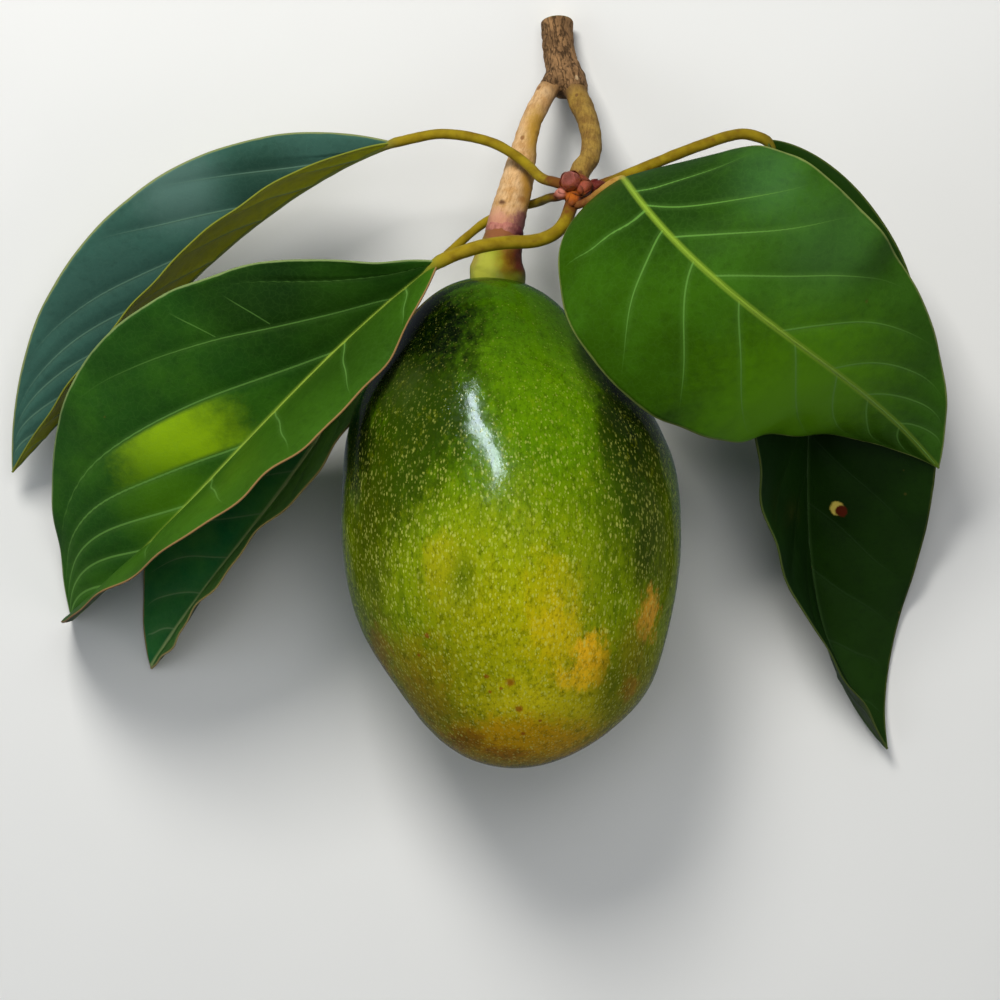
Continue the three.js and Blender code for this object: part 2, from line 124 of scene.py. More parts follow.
# heading, pitch and roll are degrees at the base, the middle and the tip. A side vein is where it
# leaves the midrib, how far forward it has run at the margin, both as shares of the length, and
# the power it bends by. Forks are thin veins between two places. A place on the blade is across
# (1 left, -1 right) and along. Ruffles lift one side's margin: side, place along, spread, height.
# blades, margins and unders are the left half's tint and the right half's. The other tints are
# patches: tint, place, radius, strength and, for some, the side veins that they lie between.
# Marks are dead spots: tint, place and radius.
LEAVES = [
    dict(
        name="leaf_front_left", slot="leaf_green",
        base=(-16, 57.4, 50), length=130, half_width=39.8, base_taper=0.95,
        heading=(-144.8, -134.1, -142.2), pitch=(-28.8, -14.4, -48.4), roll=(-15.3, 10.6, 28),
        fold_left=66.3, fold_right=23.6,
        petiole=[
            (12.9, 69.4, 44.6), (11.6, 66.1, 46.4), (9.0, 63.4, 47.5), (4.4, 61.9, 48),
            (-1.8, 61.6, 48.6), (-6.4, 60.8, 49.4), (-11.1, 59.4, 50), (-16, 57.4, 50),
        ],
        petiole_radius=1.5, rib_radius=0.95,
        veins_left=[
            (0.078, 0.021, 1), (0.232, 0.0, 1), (0.402, -0.033, 1), (0.576, -0.082, 1),
            (0.72, -0.06, 1), (0.84, -0.03, 1),
        ],
        veins_right=[
            (-0.1, 0.43, 1.2), (0.113, 0.578, 1.48), (0.256, 0.745, 1.2), (0.49, 0.53, 0.95),
            (0.636, 0.42, 0.96), (0.755, 0.31, 0.9), (0.86, 0.215, 0.85),
        ],
        vein_half=(0.22, 0.1), gloss=0.2,
        forks=[((-0.48, 0.291), (-0.88, 0.3)), ((-0.6, 0.372), (-0.92, 0.388))],
        ruffles=[
            (-1, 0.07, 0.035, 2.0), (-1, 0.14, 0.045, 0.9), (-1, 0.32, 0.05, 0.7),
            (-1, 0.4, 0.05, 1.3), (1, 0.35, 0.12, 1.0),
        ],
        blades=((52, 90, 16), (34, 74, 18)), vein=(96, 140, 62), rib=(132, 156, 52),
        margins=((150, 112, 72), (126, 146, 88)), unders=((70, 88, 40), (70, 88, 40)), seed=11,
        tints=[
            # The first tint is a painted pool of sunlight: a bright yellow-green patch between side veins 3
            # and 4.
            ((138, 174, 14), (-0.27, 0.562), 12, 0.95, (3, 4)), ((70, 112, 8), (-0.14, 0.654), 10, 0.6),
            ((14, 34, 10), (-0.75, 0.25), 14, 0.7), ((34, 62, 12), (0.4, 0.2), 16, 0.6),
        ],
    ),
    dict(
        name="leaf_low_left", slot="leaf_dark",
        base=(-30.2, 45.3, 20.5), length=100, half_width=23.4, base_taper=1.24,
        heading=(-110.2, -128, -122.6), pitch=(10.8, -15, -18.6), roll=(-11, 23.6, 19.5),
        fold_left=58.5, fold_right=5.3,
        petiole=[
            (10.4, 72.6, 39.0), (8.4, 72.8, 33.0), (5.4, 72.2, 25.8), (-1.5, 70.6, 23.6),
            (-7.2, 67.3, 22.2), (-16.4, 59.4, 21.2), (-24, 53.2, 20.8), (-30.2, 45.3, 20.5),
        ],
        petiole_radius=1.0, rib_radius=0.75,
        veins_left=[
            (0.08, 0.1, 1), (0.18, 0.12, 1), (0.3, 0.13, 1), (0.43, 0.13, 1), (0.56, 0.12, 1),
            (0.69, 0.1, 1), (0.81, 0.08, 1), (0.9, 0.05, 1),
        ],
        veins_right=[
            (0.05, 0.2, 1.3), (0.14, 0.27, 1.3), (0.26, 0.3, 1.2), (0.39, 0.28, 1.1),
            (0.52, 0.25, 1), (0.65, 0.2, 1), (0.77, 0.14, 1), (0.88, 0.08, 1),
        ],
        ruffles=[(1, 0.5, 0.1, 0.8), (-1, 0.4, 0.1, 0.8)],
        vein_half=(0.16, 0.08), gloss=0.15,
        blades=((84, 130, 44), (32, 112, 56)), vein=(110, 146, 92), rib=(190, 204, 132),
        margins=((168, 146, 88), (150, 128, 78)), unders=((66, 82, 44), (66, 82, 44)), seed=12,
        tints=[((24, 92, 40), (-0.2, 0.88), 11, 0.6)],
    ),
    dict(
        name="leaf_back_left", slot="leaf_blue_green",
        base=(-26.3, 85.7, 29), length=120, half_width=25.7, base_taper=1.05,
        heading=(-161, -136.9, -133.9), pitch=(-19.6, -9.5, -3.8), roll=(-2.5, -13.6, -12.2),
        fold_left=110, fold_right=14.5,
        petiole=[
            (10.2, 75.4, 41.4), (6.6, 76.8, 37.4), (3.0, 80.6, 33.4), (-4.2, 85.2, 31.8),
            (-15.6, 87.4, 30.8), (-26.3, 85.7, 29),
        ],
        petiole_radius=1.15, rib_radius=0.75,
        veins_left=[
            (0.07, 0.12, 1), (0.18, 0.14, 1), (0.3, 0.15, 1), (0.43, 0.15, 1), (0.56, 0.13, 1),
            (0.69, 0.1, 1), (0.81, 0.08, 1), (0.9, 0.05, 1),
        ],
        veins_right=[
            (0.0, 0.43, 0.85), (0.225, 0.348, 0.94), (0.345, 0.5, 1), (0.5, 0.45, 1),
            (0.64, 0.34, 1), (0.77, 0.22, 1), (0.88, 0.12, 1),
        ],
        vein_half=(0.2, 0.1), gloss=0.06, wave=0.2,
        ruffles=[(1, 0.4, 0.12, 0.3), (-1, 0.55, 0.12, 0.8)],
        # The blade tints are green with a painted blue-grey sky reflection laid into them. The first tint
        # patch is a paler painted sheen of the same reflection.
        blades=((48, 84, 72), (60, 96, 84)), vein=(100, 134, 112), rib=(120, 130, 66),
        # The left underside tint is the underside's olive made far brighter, with painted light shining
        # through the folded half.
        margins=((124, 130, 44), (132, 140, 84)), unders=((170, 172, 6), (96, 110, 48)), seed=13,
        tints=[((88, 120, 110), (-0.78, 0.377), 9, 0.8), ((36, 64, 50), (-0.44, 0.257), 9, 0.7)],
    ),
    dict(
        name="leaf_front_right", slot="leaf_bright",
        base=(24.3, 75.4, 51.4), length=129, half_width=32.5, base_taper=0.552,
        heading=(-71.6, -33.3, -47.8), pitch=(86.7, -33.8, -33), roll=(4.9, 13.5, 49.2),
        fold_left=-12.5, fold_right=-10.2,
        petiole=[
            (14.0, 70.0, 45.4), (16.6, 70.8, 47.3), (19.7, 73.0, 49.6), (22.6, 74.9, 50.9),
            (24.3, 75.4, 51.4),
        ],
        petiole_radius=0.9, rib_radius=0.5, stem=((180, 142, 70), (150, 108, 44)),
        veins_left=[
            (0.1, 0.1, 1), (0.14, 0.236, 1), (0.225, 0.267, 1.1), (0.318, 0.35, 1.06),
            (0.476, 0.31, 1.1), (0.61, 0.27, 1), (0.73, 0.21, 1), (0.845, 0.13, 1),
        ],
        veins_right=[
            (0.154, -0.035, 1.1), (0.204, 0.124, 1.4), (0.279, 0.195, 1.2), (0.38, 0.27, 1.15),
            (0.51, 0.28, 1), (0.63, 0.25, 1), (0.745, 0.19, 1), (0.855, 0.12, 1),
        ],
        vein_half=(0.19, 0.06), gloss=0.12,
        ruffles=[(-1, 0.62, 0.05, 1.2), (-1, 0.72, 0.05, -1.0), (1, 0.52, 0.04, 1.2)],
        blades=((50, 90, 16), (44, 78, 2)), vein=(92, 138, 56), rib=(126, 156, 44),
        margins=((126, 140, 76), (130, 142, 72)), unders=((84, 104, 52), (84, 104, 52)), seed=14,
        # The first two tints are a painted blue-green sheen on the upper half. The third lightens the right
        # half past its middle with painted light where it curves away into shade.
        tints=[
            ((60, 96, 72), (0.75, 0.26), 8, 0.3), ((58, 92, 56), (0.7, 0.45), 11, 0.3),
            ((90, 144, 0), (-0.5, 0.63), 21, 0.85), ((34, 68, 4), (-0.25, 0.14), 12, 0.5),
            ((22, 46, 10), (0.32, 0.15), 15, 0.8),
        ],
    ),
    dict(
        name="leaf_back_right", slot="leaf_shade",
        base=(57.5, 86, 31.5), length=149, half_width=30.3, base_taper=0.82,
        heading=(-59.7, -90.2, -46.7), pitch=(-14.6, -13.9, 9), roll=(2.5, 14.2, -33.9),
        fold_left=3.4, fold_right=76.8,
        petiole=[
            (19.2, 74.8, 40.0), (28.6, 78.6, 39.0), (42.1, 84.2, 36.4), (52, 87.2, 33),
            (57.5, 86, 31.5),
        ],
        petiole_radius=1.25, rib_radius=0.8,
        veins_left=[
            (0.06, 0.16, 1.2), (0.15, 0.18, 1.1), (0.25, 0.19, 1), (0.36, 0.19, 1),
            (0.47, 0.18, 1), (0.58, 0.17, 1), (0.69, 0.14, 1), (0.8, 0.1, 1), (0.9, 0.06, 1),
        ],
        veins_right=[
            (0.09, 0.16, 1.1), (0.2, 0.18, 1), (0.31, 0.18, 1), (0.42, 0.18, 1), (0.53, 0.17, 1),
            (0.64, 0.15, 1), (0.75, 0.12, 1), (0.86, 0.08, 1),
        ],
        ruffles=[(1, 0.3, 0.1, 1.0), (-1, 0.5, 0.12, 0.8)],
        vein_half=(0.2, 0.08), gloss=0.2,
        # The very dark blade, vein and rib tints are the leaf's deep green with painted shade in it.
        blades=((22, 46, 5), (18, 42, 8)), vein=(30, 54, 18), rib=(50, 78, 32),
        margins=((72, 84, 34), (72, 84, 34)), unders=((62, 78, 40), (62, 78, 40)), seed=15,
        marks=[((228, 204, 92), (0.25, 0.59), 1.65), ((96, 32, 12), (0.285, 0.594), 1.4)],
    ),
]

# ---- Camera ----

SENSOR = 36
CAMERA_AT = (-2.683, 4.807)
FOCUS_HEIGHT = 38
CAMERA_DISTANCE = 800
VIEW_WIDTH = 223.58  # of the picture, at the focus height
NEAR_CLIP = 50


def add_camera():
    """It looks straight down."""
    lens = bpy.data.cameras.new("camera")
    lens.sensor_width = SENSOR
    lens.lens = SENSOR * CAMERA_DISTANCE / VIEW_WIDTH
    lens.clip_start = NEAR_CLIP * MM
    camera = add_object("camera", lens)
    camera.location = put((*CAMERA_AT, FOCUS_HEIGHT + CAMERA_DISTANCE))
    bpy.context.scene.camera = camera


# ---- Lights ----

SOFTBOXES = [
    # name, direction from the part, distance, size, watts and colour
    ("key", (-0.24, 0.63, 0.73), 800, 260, 5.4, (1.0, 0.98, 0.94)),
    ("fill_left", (-0.8, -0.1, 0.6), 900, 600, 1.6, (0.9, 0.95, 1.0)),
    ("fill_right", (0.7, -0.4, 0.6), 900, 600, 1.2, (1.0, 0.97, 0.9)),
    ("fill_top", (0.1, 0.3, 0.95), 1000, 500, 2.8, (1.0, 1.0, 1.0)),
]
SOFTBOX_TARGET = (0, 0, 40)
SKY_COLOR = (0.75, 0.85, 1.0, 1)
SKY_STRENGTH = 0.12


def add_softbox(name, target, towards, distance, size, power, color, upright=(0, 0, 1)):
    """A rectangular light that looks at target from that direction, in millimetres.

    It lights surfaces without being mirrored in them.
    """
    lamp = bpy.data.lights.new(name, "AREA")
    lamp.shape = "RECTANGLE"
    lamp.size, lamp.size_y = size[0] * MM, size[1] * MM
    lamp.energy = power
    lamp.color = color
    holder = add_object(name, lamp)
    back = Vector(towards).normalized()
    right = Vector(upright).cross(back).normalized()
    holder.location = Vector(put(target)) + back * distance * MM
    holder.rotation_mode = "QUATERNION"
    holder.rotation_quaternion = Matrix((right, back.cross(right), back)).transposed().to_quaternion()
    holder.visible_glossy = False
    return holder


# The bright strip that the fruit mirrors, as points in millimetres along its middle.
STREAK_LINE = [(-270, 628, 322), (-256, 470, 547), (-82, 222, 727)]
STREAK_TARGET = (-6, 19, 72)
STREAK_WIDTH = 115
STREAK_GLOW = 0.00028  # watts for each square millimetre
STREAK_COLOR = (0.74, 0.86, 1.0)


def add_streak(fruit):
    """Strip lights that only the fruit mirrors, and that light nothing."""
    mirrors = bpy.data.collections.new("mirrors_streak")
    mirrors.objects.link(fruit)
    for k, (low, high) in enumerate(zip(STREAK_LINE, STREAK_LINE[1:])):
        along = Vector(high) - Vector(low)
        away = (Vector(high) + Vector(low)) / 2 - Vector(STREAK_TARGET)
        size = (STREAK_WIDTH, along.length)
        look = (away.length, size, STREAK_GLOW * size[0] * size[1], STREAK_COLOR, along)
        strip = add_softbox(f"streak_{k}", STREAK_TARGET, away, *look)
        strip.visible_glossy = True
        strip.visible_diffuse = False
        strip.light_linking.receiver_collection = mirrors


def add_lights():
    for name, towards, distance, side, power, color in SOFTBOXES:
        add_softbox(name, SOFTBOX_TARGET, towards, distance, (side, side), power, color)
    world = bpy.data.worlds.new("studio")
    bpy.context.scene.world = world
    world.use_nodes = True
    background = world.node_tree.nodes["Background"]
    background.inputs["Color"].default_value = SKY_COLOR
    background.inputs["Strength"].default_value = SKY_STRENGTH
    bpy.context.scene.view_settings.view_transform = "Standard"


# ---- Numbers ----

def through(values, t):
    """The smooth value through (start, middle, end) at t from 0 to 1."""
    start, middle, end = values
    return start * (1 - t) * (1 - 2 * t) + middle * 4 * t * (1 - t) + end * t * (2 * t - 1)


def bump(s, at, width):
    return np.exp(-(((s - at) / width) ** 2))


def smooth(value, low, high):
    """0 at low, 1 at high, with a smooth start and end."""
    x = np.clip((value - low) / (high - low), 0, 1)
    return x * x * (3 - 2 * x)


def ripples(points, size, seed, count=24):
    """A smooth random height, mostly from -1 to 1, with lumps about size across."""
    random = np.random.default_rng(seed)
    ways = random.normal(size=(count, 3))
    ways /= np.linalg.norm(ways, axis=1, keepdims=True)
    ways *= 2 * math.pi / size * random.uniform(0.6, 1.3, (count, 1))
    starts = random.uniform(0, 2 * math.pi, count)
    return np.sin(np.asarray(points) @ ways.T + starts).sum(-1) / math.sqrt(count)


def lumpy(points, waves):
    """The sum of several ripples, each given as its height, size, seed and, for some, its count."""
    return sum(height * ripples(points, *wave) for height, *wave in waves)


def unit(vectors):
    return vectors / np.maximum(np.linalg.norm(vectors, axis=-1, keepdims=True), 1e-9)


def way(heading, pitch):
    """The unit vector of a heading and a pitch in radians."""
    level = np.cos(pitch)
    return np.stack([np.cos(heading) * level, np.sin(heading) * level, np.sin(pitch) + 0 * heading], -1)


# ---- Meshes ----

def quads(rows, columns, wrap=False):
    """The faces of a grid of points, row by row. wrap joins the last column to the first."""
    row = np.arange(rows - 1)[:, None] * columns
    column = np.arange(columns if wrap else columns - 1)[None, :]
    following = (column + 1) % columns
    corners = [row + column, row + following, row + columns + following, row + columns + column]
    return np.stack(corners, -1).reshape(-1, 4)


def closed_rings(rows, columns):
    """The faces of rings of points that close on one more point at each end."""
    first, last, top = rows * columns, rows * columns + 1, (rows - 1) * columns
    pairs = [(j, (j + 1) % columns) for j in range(columns)]
    faces = [tuple(face) for face in quads(rows, columns, wrap=True)]
    faces += [(first, following, j) for j, following in pairs]
    return faces + [(last, top + j, top + following) for j, following in pairs]


def slab(rows, columns):
    """The faces of two grids of points, one behind the other, closed round their edge."""
    size = rows * columns
    grid = np.arange(size).reshape(rows, columns)
    rim = np.concatenate([grid[:-1, 0], grid[-1, :-1], grid[:0:-1, -1], grid[0, :0:-1]])
    following = np.roll(rim, -1)
    front = quads(rows, columns)
    wall = np.stack([rim, following, following + size, rim + size], -1)
    return np.vstack([front, front[:, ::-1] + size, wall])


def joined(shells):
    """The points and faces of several shells as one mesh."""
    points = [shell_points for shell_points, _ in shells]
    faces, start = [], 0
    for shell_points, shell_faces in shells:
        faces += [tuple(int(i) + start for i in face) for face in shell_faces]
        start += len(shell_points)
    return np.vstack(points), faces


def add_mesh(name, points, faces, material, values=(), corner_values=()):
    """A smooth mesh object from millimetre points, with named values at its points or corners."""
    mesh = bpy.data.meshes.new(name)
    mesh.from_pydata(put(points).tolist(), [], [tuple(int(i) for i in face) for face in faces])
    for domain, given in (("POINT", values), ("CORNER", corner_values)):
        for key, numbers in dict(given).items():
            attribute = mesh.attributes.new(key, "FLOAT", domain)
            attribute.data.foreach_set("value", np.asarray(numbers, np.float32))
    mesh.materials.append(material)
    mesh.polygons.foreach_set("use_smooth", [True] * len(mesh.polygons))
    return add_object(name, mesh)


def dress(piece, slot, *nodes):
    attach(piece, "root")
    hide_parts(*nodes)


# ---- Material graphs ----

def paint(tint):
    """A tint of 0-255 screen values as Blender's linear colour."""
    shares = np.array(tint) / 255
    linear = np.where(shares <= 0.04045, shares / 12.92, ((shares + 0.055) / 1.055) ** 2.4)
    return (*linear.tolist(), 1)


def shade(tint, share):
    """A tint made darker or lighter."""
    return tuple(min(255, share * value) for value in tint)


class Surface:
    """A Principled material whose node graph is built by calls.

    Sizes and places are in millimetres. Colours are tints of 0-255 screen values, or sockets.
    """

    def __init__(self, name, roughness=0.5, **sockets):
        self.material = bpy.data.materials.new(name)
        self.material.use_nodes = True
        self.nodes = self.material.node_tree.nodes
        self.links = self.material.node_tree.links
        self.shader = self.nodes["Principled BSDF"]
        self.set(Roughness=roughness, **sockets)
        metres = self.add("TexCoord").outputs["Object"]
        millimetres = self.vector("MULTIPLY", metres, (1 / MM,) * 3)
        self.place = self.vector("SUBTRACT", millimetres, tuple(ORIGIN))
        self.base = None

    def wire(self, socket, value):
        if isinstance(value, bpy.types.NodeSocket):
            self.links.new(value, socket)
        else:
            socket.default_value = value

    def set(self, **values):
        """Sets or wires the shader's own sockets."""
        for key, value in values.items():
            self.wire(self.shader.inputs[key.replace("_", " ")], value)

    def add(self, kind, *values, **settings):
        """A node with its settings and its first inputs. None leaves an input as it is."""
        node = self.nodes.new("ShaderNode" + kind)
        for key, value in settings.items():
            setattr(node, key, value)
        for socket, value in zip(node.inputs, values):
            if value is not None:
                self.wire(socket, value)
        return node

    def math(self, operation, *values):
        return self.add("Math", *values, operation=operation).outputs[0]

    def plus(self, first, second):
        return self.math("ADD", first, second)

    def minus(self, first, second):
        return self.math("SUBTRACT", first, second)

    def times(self, first, second):
        return self.math("MULTIPLY", first, second)

    def vector(self, operation, *values):
        outputs = self.add("VectorMath", *values, operation=operation).outputs
        return outputs["Value" if operation in ("LENGTH", "DOT_PRODUCT") else "Vector"]

    def value_of(self, name):
        return self.add("Attribute", attribute_name=name).outputs["Fac"]

    def smooth(self, value, low, high, start=0.0, end=1.0):
        """start where the value is low, end where it is high, with a smooth change between."""
        limits = (low, high, start, end)
        return self.add("MapRange", value, *limits, interpolation_type="SMOOTHSTEP").outputs[0]

    def noise(self, size, detail=3.0, vector=None, roughness=0.55):
        place = vector or self.place
        return self.add("TexNoise", place, None, 1 / size, detail, roughness).outputs[0]

    def shaken(self, size, reach):
        """The place, moved about by lumps of that size, for ragged cells."""
        lumps = self.add("TexNoise", self.place, None, 1 / size).outputs["Color"]
        return self.vector("ADD", self.place, self.vector("MULTIPLY", lumps, (reach,) * 3))

    def cells(self, size, vector=None, feature="F1"):
        """The distance within each cell, and the cell's random colour."""
        node = self.add("TexVoronoi", vector or self.place, None, 1 / size, feature=feature)
        return node.outputs[0], node.outputs[1]

    def dots(self, size, rare, radius, soft, vector=None):
        """Round dots of up to that share of a cell, in the cells whose chance is above rare."""
        distance, color = self.cells(size, vector)
        chance = self.add("SeparateColor", color).outputs[0]
        reach = self.times(self.smooth(chance, rare, 1.0), radius)
        return self.smooth(self.minus(distance, reach), soft, -soft)

    def stretched(self, x, y, z):
        return self.vector("MULTIPLY", self.place, (x, y, z))

    def drawn_out(self, direction, share):
        """The place with its run along a direction cut to that share, for noise that is long there."""
        direction = tuple(unit(np.array(direction, float)))
        run = self.vector("DOT_PRODUCT", self.place, direction)
        off = self.vector("MULTIPLY", direction, self.times(run, 1 - share))
        return self.vector("SUBTRACT", self.place, off)

    def mix(self, factor, first, second):
        node = self.add("Mix", factor, data_type="RGBA")
        for socket, color in zip(node.inputs[6:8], (first, second)):
            self.wire(socket, paint(color) if isinstance(color, tuple) else color)
        return node.outputs[2]

    def patch(self, at, radii, soft=0.5, ragged=0.5, size=4.0, stretch=(1, 1, 1)):
        """1 inside an oval or a ball at a place, fading out past a ragged edge."""
        radii = radii if isinstance(radii, tuple) else (radii,) * 3
        away = self.vector("SUBTRACT", self.place, tuple(at))
        distance = self.vector("LENGTH", self.vector("DIVIDE", away, radii))
        grain = self.noise(size, 6, self.stretched(*stretch), 0.72)
        rough = self.times(self.minus(grain, 0.5), ragged * 2.6)
        return self.smooth(self.plus(distance, rough), 1 + soft, 1 - soft)

    def cover(self, color, mask, strength=1.0):
        """Lays a colour over the base where the mask is 1."""
        self.base = self.mix(self.times(mask, strength), self.base, color)

    def cover_patches(self, rows, *edge):
        """Lays patches over the base, each a tint, a place, radii and a strength."""
        for tint, at, radii, strength in rows:
            self.cover(tint, self.patch(at, radii, *edge), strength)

    def finish(self, height, depth, strength, **sockets):
        """Wires the base and a bump from a height, where 1 stands depth millimetres proud."""
        bump_node = self.add("Bump")
        for key, value in (("Strength", strength), ("Distance", depth * MM), ("Height", height)):
            self.wire(bump_node.inputs[key], value)
        self.set(Base_Color=self.base, Normal=bump_node.outputs[0], **sockets)
        return self.material


# ---- Floor ----

FLOOR_HALF = 2.0  # metres
FLOOR_PAINT = (226, 226, 224)
FLOOR_SHADE = (221, 221, 219)


def add_floor():
    paper = Surface("floor_paper", roughness=0.9)
    paper.set(Base_Color=paper.mix(paper.noise(60, 2), FLOOR_PAINT, FLOOR_SHADE))
    mesh = bpy.data.meshes.new("floor")
    corners = [(-1, -1), (1, -1), (1, 1), (-1, 1)]
    mesh.from_pydata([(x * FLOOR_HALF, y * FLOOR_HALF, 0) for x, y in corners], [], [(0, 1, 2, 3)])
    mesh.materials.append(paper.material)
    floor = add_object("floor", mesh)
    floor.visible_glossy = False


# ---- Tubes along a curve ----

def curve_points(points, per_span=40):
    """A centripetal Catmull-Rom curve through the points, as many short steps."""
    p = np.asarray(points, float)
    p = np.vstack([2 * p[0] - p[1], p, 2 * p[-1] - p[-2]])
    found = []
    for a, b, c, d in zip(p, p[1:], p[2:], p[3:]):
        ab, bc, cd = (math.sqrt(np.linalg.norm(q - r)) for q, r in ((b, a), (c, b), (d, c)))
        leave = ((b - a) / ab - (c - a) / (ab + bc) + (c - b) / bc) * bc
        arrive = ((c - b) / bc - (d - b) / (bc + cd) + (d - c) / cd) * bc
        x = np.linspace(0, 1, per_span, endpoint=False)[:, None]
        found.append(
            (2 * x**3 - 3 * x**2 + 1) * b + (x**3 - 2 * x**2 + x) * leave
            + (3 * x**2 - 2 * x**3) * c + (x**3 - x**2) * arrive
        )
    return np.vstack(found + [p[-2:-1]])


def run_along(line):
    """The distance of each point of a line from its start."""
    return np.concatenate([[0], np.cumsum(np.linalg.norm(np.diff(line, axis=0), axis=1))])


def evenly(line, count):
    """count points at even distances along a line."""
    run = run_along(line)
    places = np.linspace(0, 1, count) * run[-1]
    return np.stack([np.interp(places, run, line[:, k]) for k in range(3)], -1)


def carried_frames(line):
    """The line's direction and two cross directions at each point, carried along without twist."""
    forward = unit(np.gradient(line, axis=0))
    normal = np.cross(forward[0], (0, 0, 1.0))
    normals = []
    for step in forward:
        normal = unit(normal - step * np.dot(normal, step))
        normals.append(normal)
    normals = np.array(normals)
    return forward, normals, np.cross(forward, normals)


def tube(line, radii, sides, relief=None, domes=(0.5, 0.5), cap_rings=6):
    """Points and faces of a closed tube with domed or flat ends.

    radii is spread evenly along the line. relief(points) adds to the radius.
    A dome is its height as a share of the end's radius, and 0 is a flat cut.
    """
    forward, normals, sideways = carried_frames(line)
    share = np.linspace(0, 1, len(line))
    radius = np.interp(share, np.linspace(0, 1, len(radii)), radii)
    turn = np.linspace(0, 2 * math.pi, sides, endpoint=False)[None, :, None]
    outward = normals[:, None] * np.cos(turn) + sideways[:, None] * np.sin(turn)
    rings = line[:, None] + outward * radius[:, None, None]
    if relief is not None:
        rings = rings + outward * relief(rings)[..., None]
    inward = np.linspace(0, math.pi / 2, cap_rings + 1)[1:-1]

    def cap(end, dome):
        height = dome * radius[end] * forward[end]
        return [line[end] + (rings[end] - line[end]) * math.cos(a) + height * math.sin(a) for a in inward]

    ends = ((0, -domes[0]), (-1, domes[1]))
    first, last = (cap(*end) for end in ends)
    layers = first[::-1] + list(rings) + last
    tips = [line[end] + forward[end] * dome * radius[end] for end, dome in ends]
    return np.vstack([*layers, tips]), closed_rings(len(layers), sides)


def add_limb(name, slot, node, limb, material, lumps, seed, domes, sides=48, step=0.45):
    """A stalk or shoot with a lumpy skin, in rings step millimetres apart."""
    line = curve_points(limb["points"])
    line = evenly(line, int(run_along(line)[-1] / step))
    points, faces = tube(line, limb["radii"], sides, bark_relief(lumps, seed), domes)
    dress(add_mesh(name, points, faces, material), slot, node)


# ---- Fruit ----
# s runs from 0 at the stalk end to 1 at the foot, and turn goes round.

FRUIT_RINGS = 250
FRUIT_SIDES = 300
SKIN_LUMPS = [(0.14, 17, 3), (0.028, 6, 4), (0.009, 2.6, 5, 40)]


def fruit_radius(s):
    egg = FRUIT_RADIUS * 2 * np.sqrt(np.clip(s * (1 - s), 0, None))
    return egg * (1 - NECK["depth"] * bump(s, NECK["at"], NECK["width"]))


def fruit_lean(s):
    neck = NECK_LEAN["shift"] * bump(s, 0, NECK_LEAN["width"])
    return neck + FOOT_LEAN["shift"] * bump(s, FOOT_LEAN["at"], FOOT_LEAN["width"])


def fruit_point(s, turn):
    radius = fruit_radius(s)
    flats = 1 + FLATS["depth"] * np.cos(FLATS["count"] * turn + FLATS["turn"]) * s
    x = radius * np.cos(turn) * flats + fruit_lean(s)
    y = (0.5 - s) * FRUIT_LENGTH
    z = radius * np.sin(turn) * flats
    run, rise = math.cos(FRUIT_TILT), math.sin(FRUIT_TILT)
    return np.stack([x, y * run + z * rise, z * run - y * rise + FRUIT_HEIGHT], -1)


def on_fruit(x, y):
    """The upper surface of the fruit at a place seen from above."""
    s = 0.5 - y / FRUIT_LENGTH
    across = (x - fruit_lean(s)) / fruit_radius(s)
    return fruit_point(s, math.acos(max(-1.0, min(1.0, across))))


def skin_relief(points, s):
    """Low lumps and fine pebbling of the skin, in millimetres."""
    return lumpy(points, SKIN_LUMPS) * smooth(s, 0, 0.06) * smooth(1 - s, 0, 0.04)


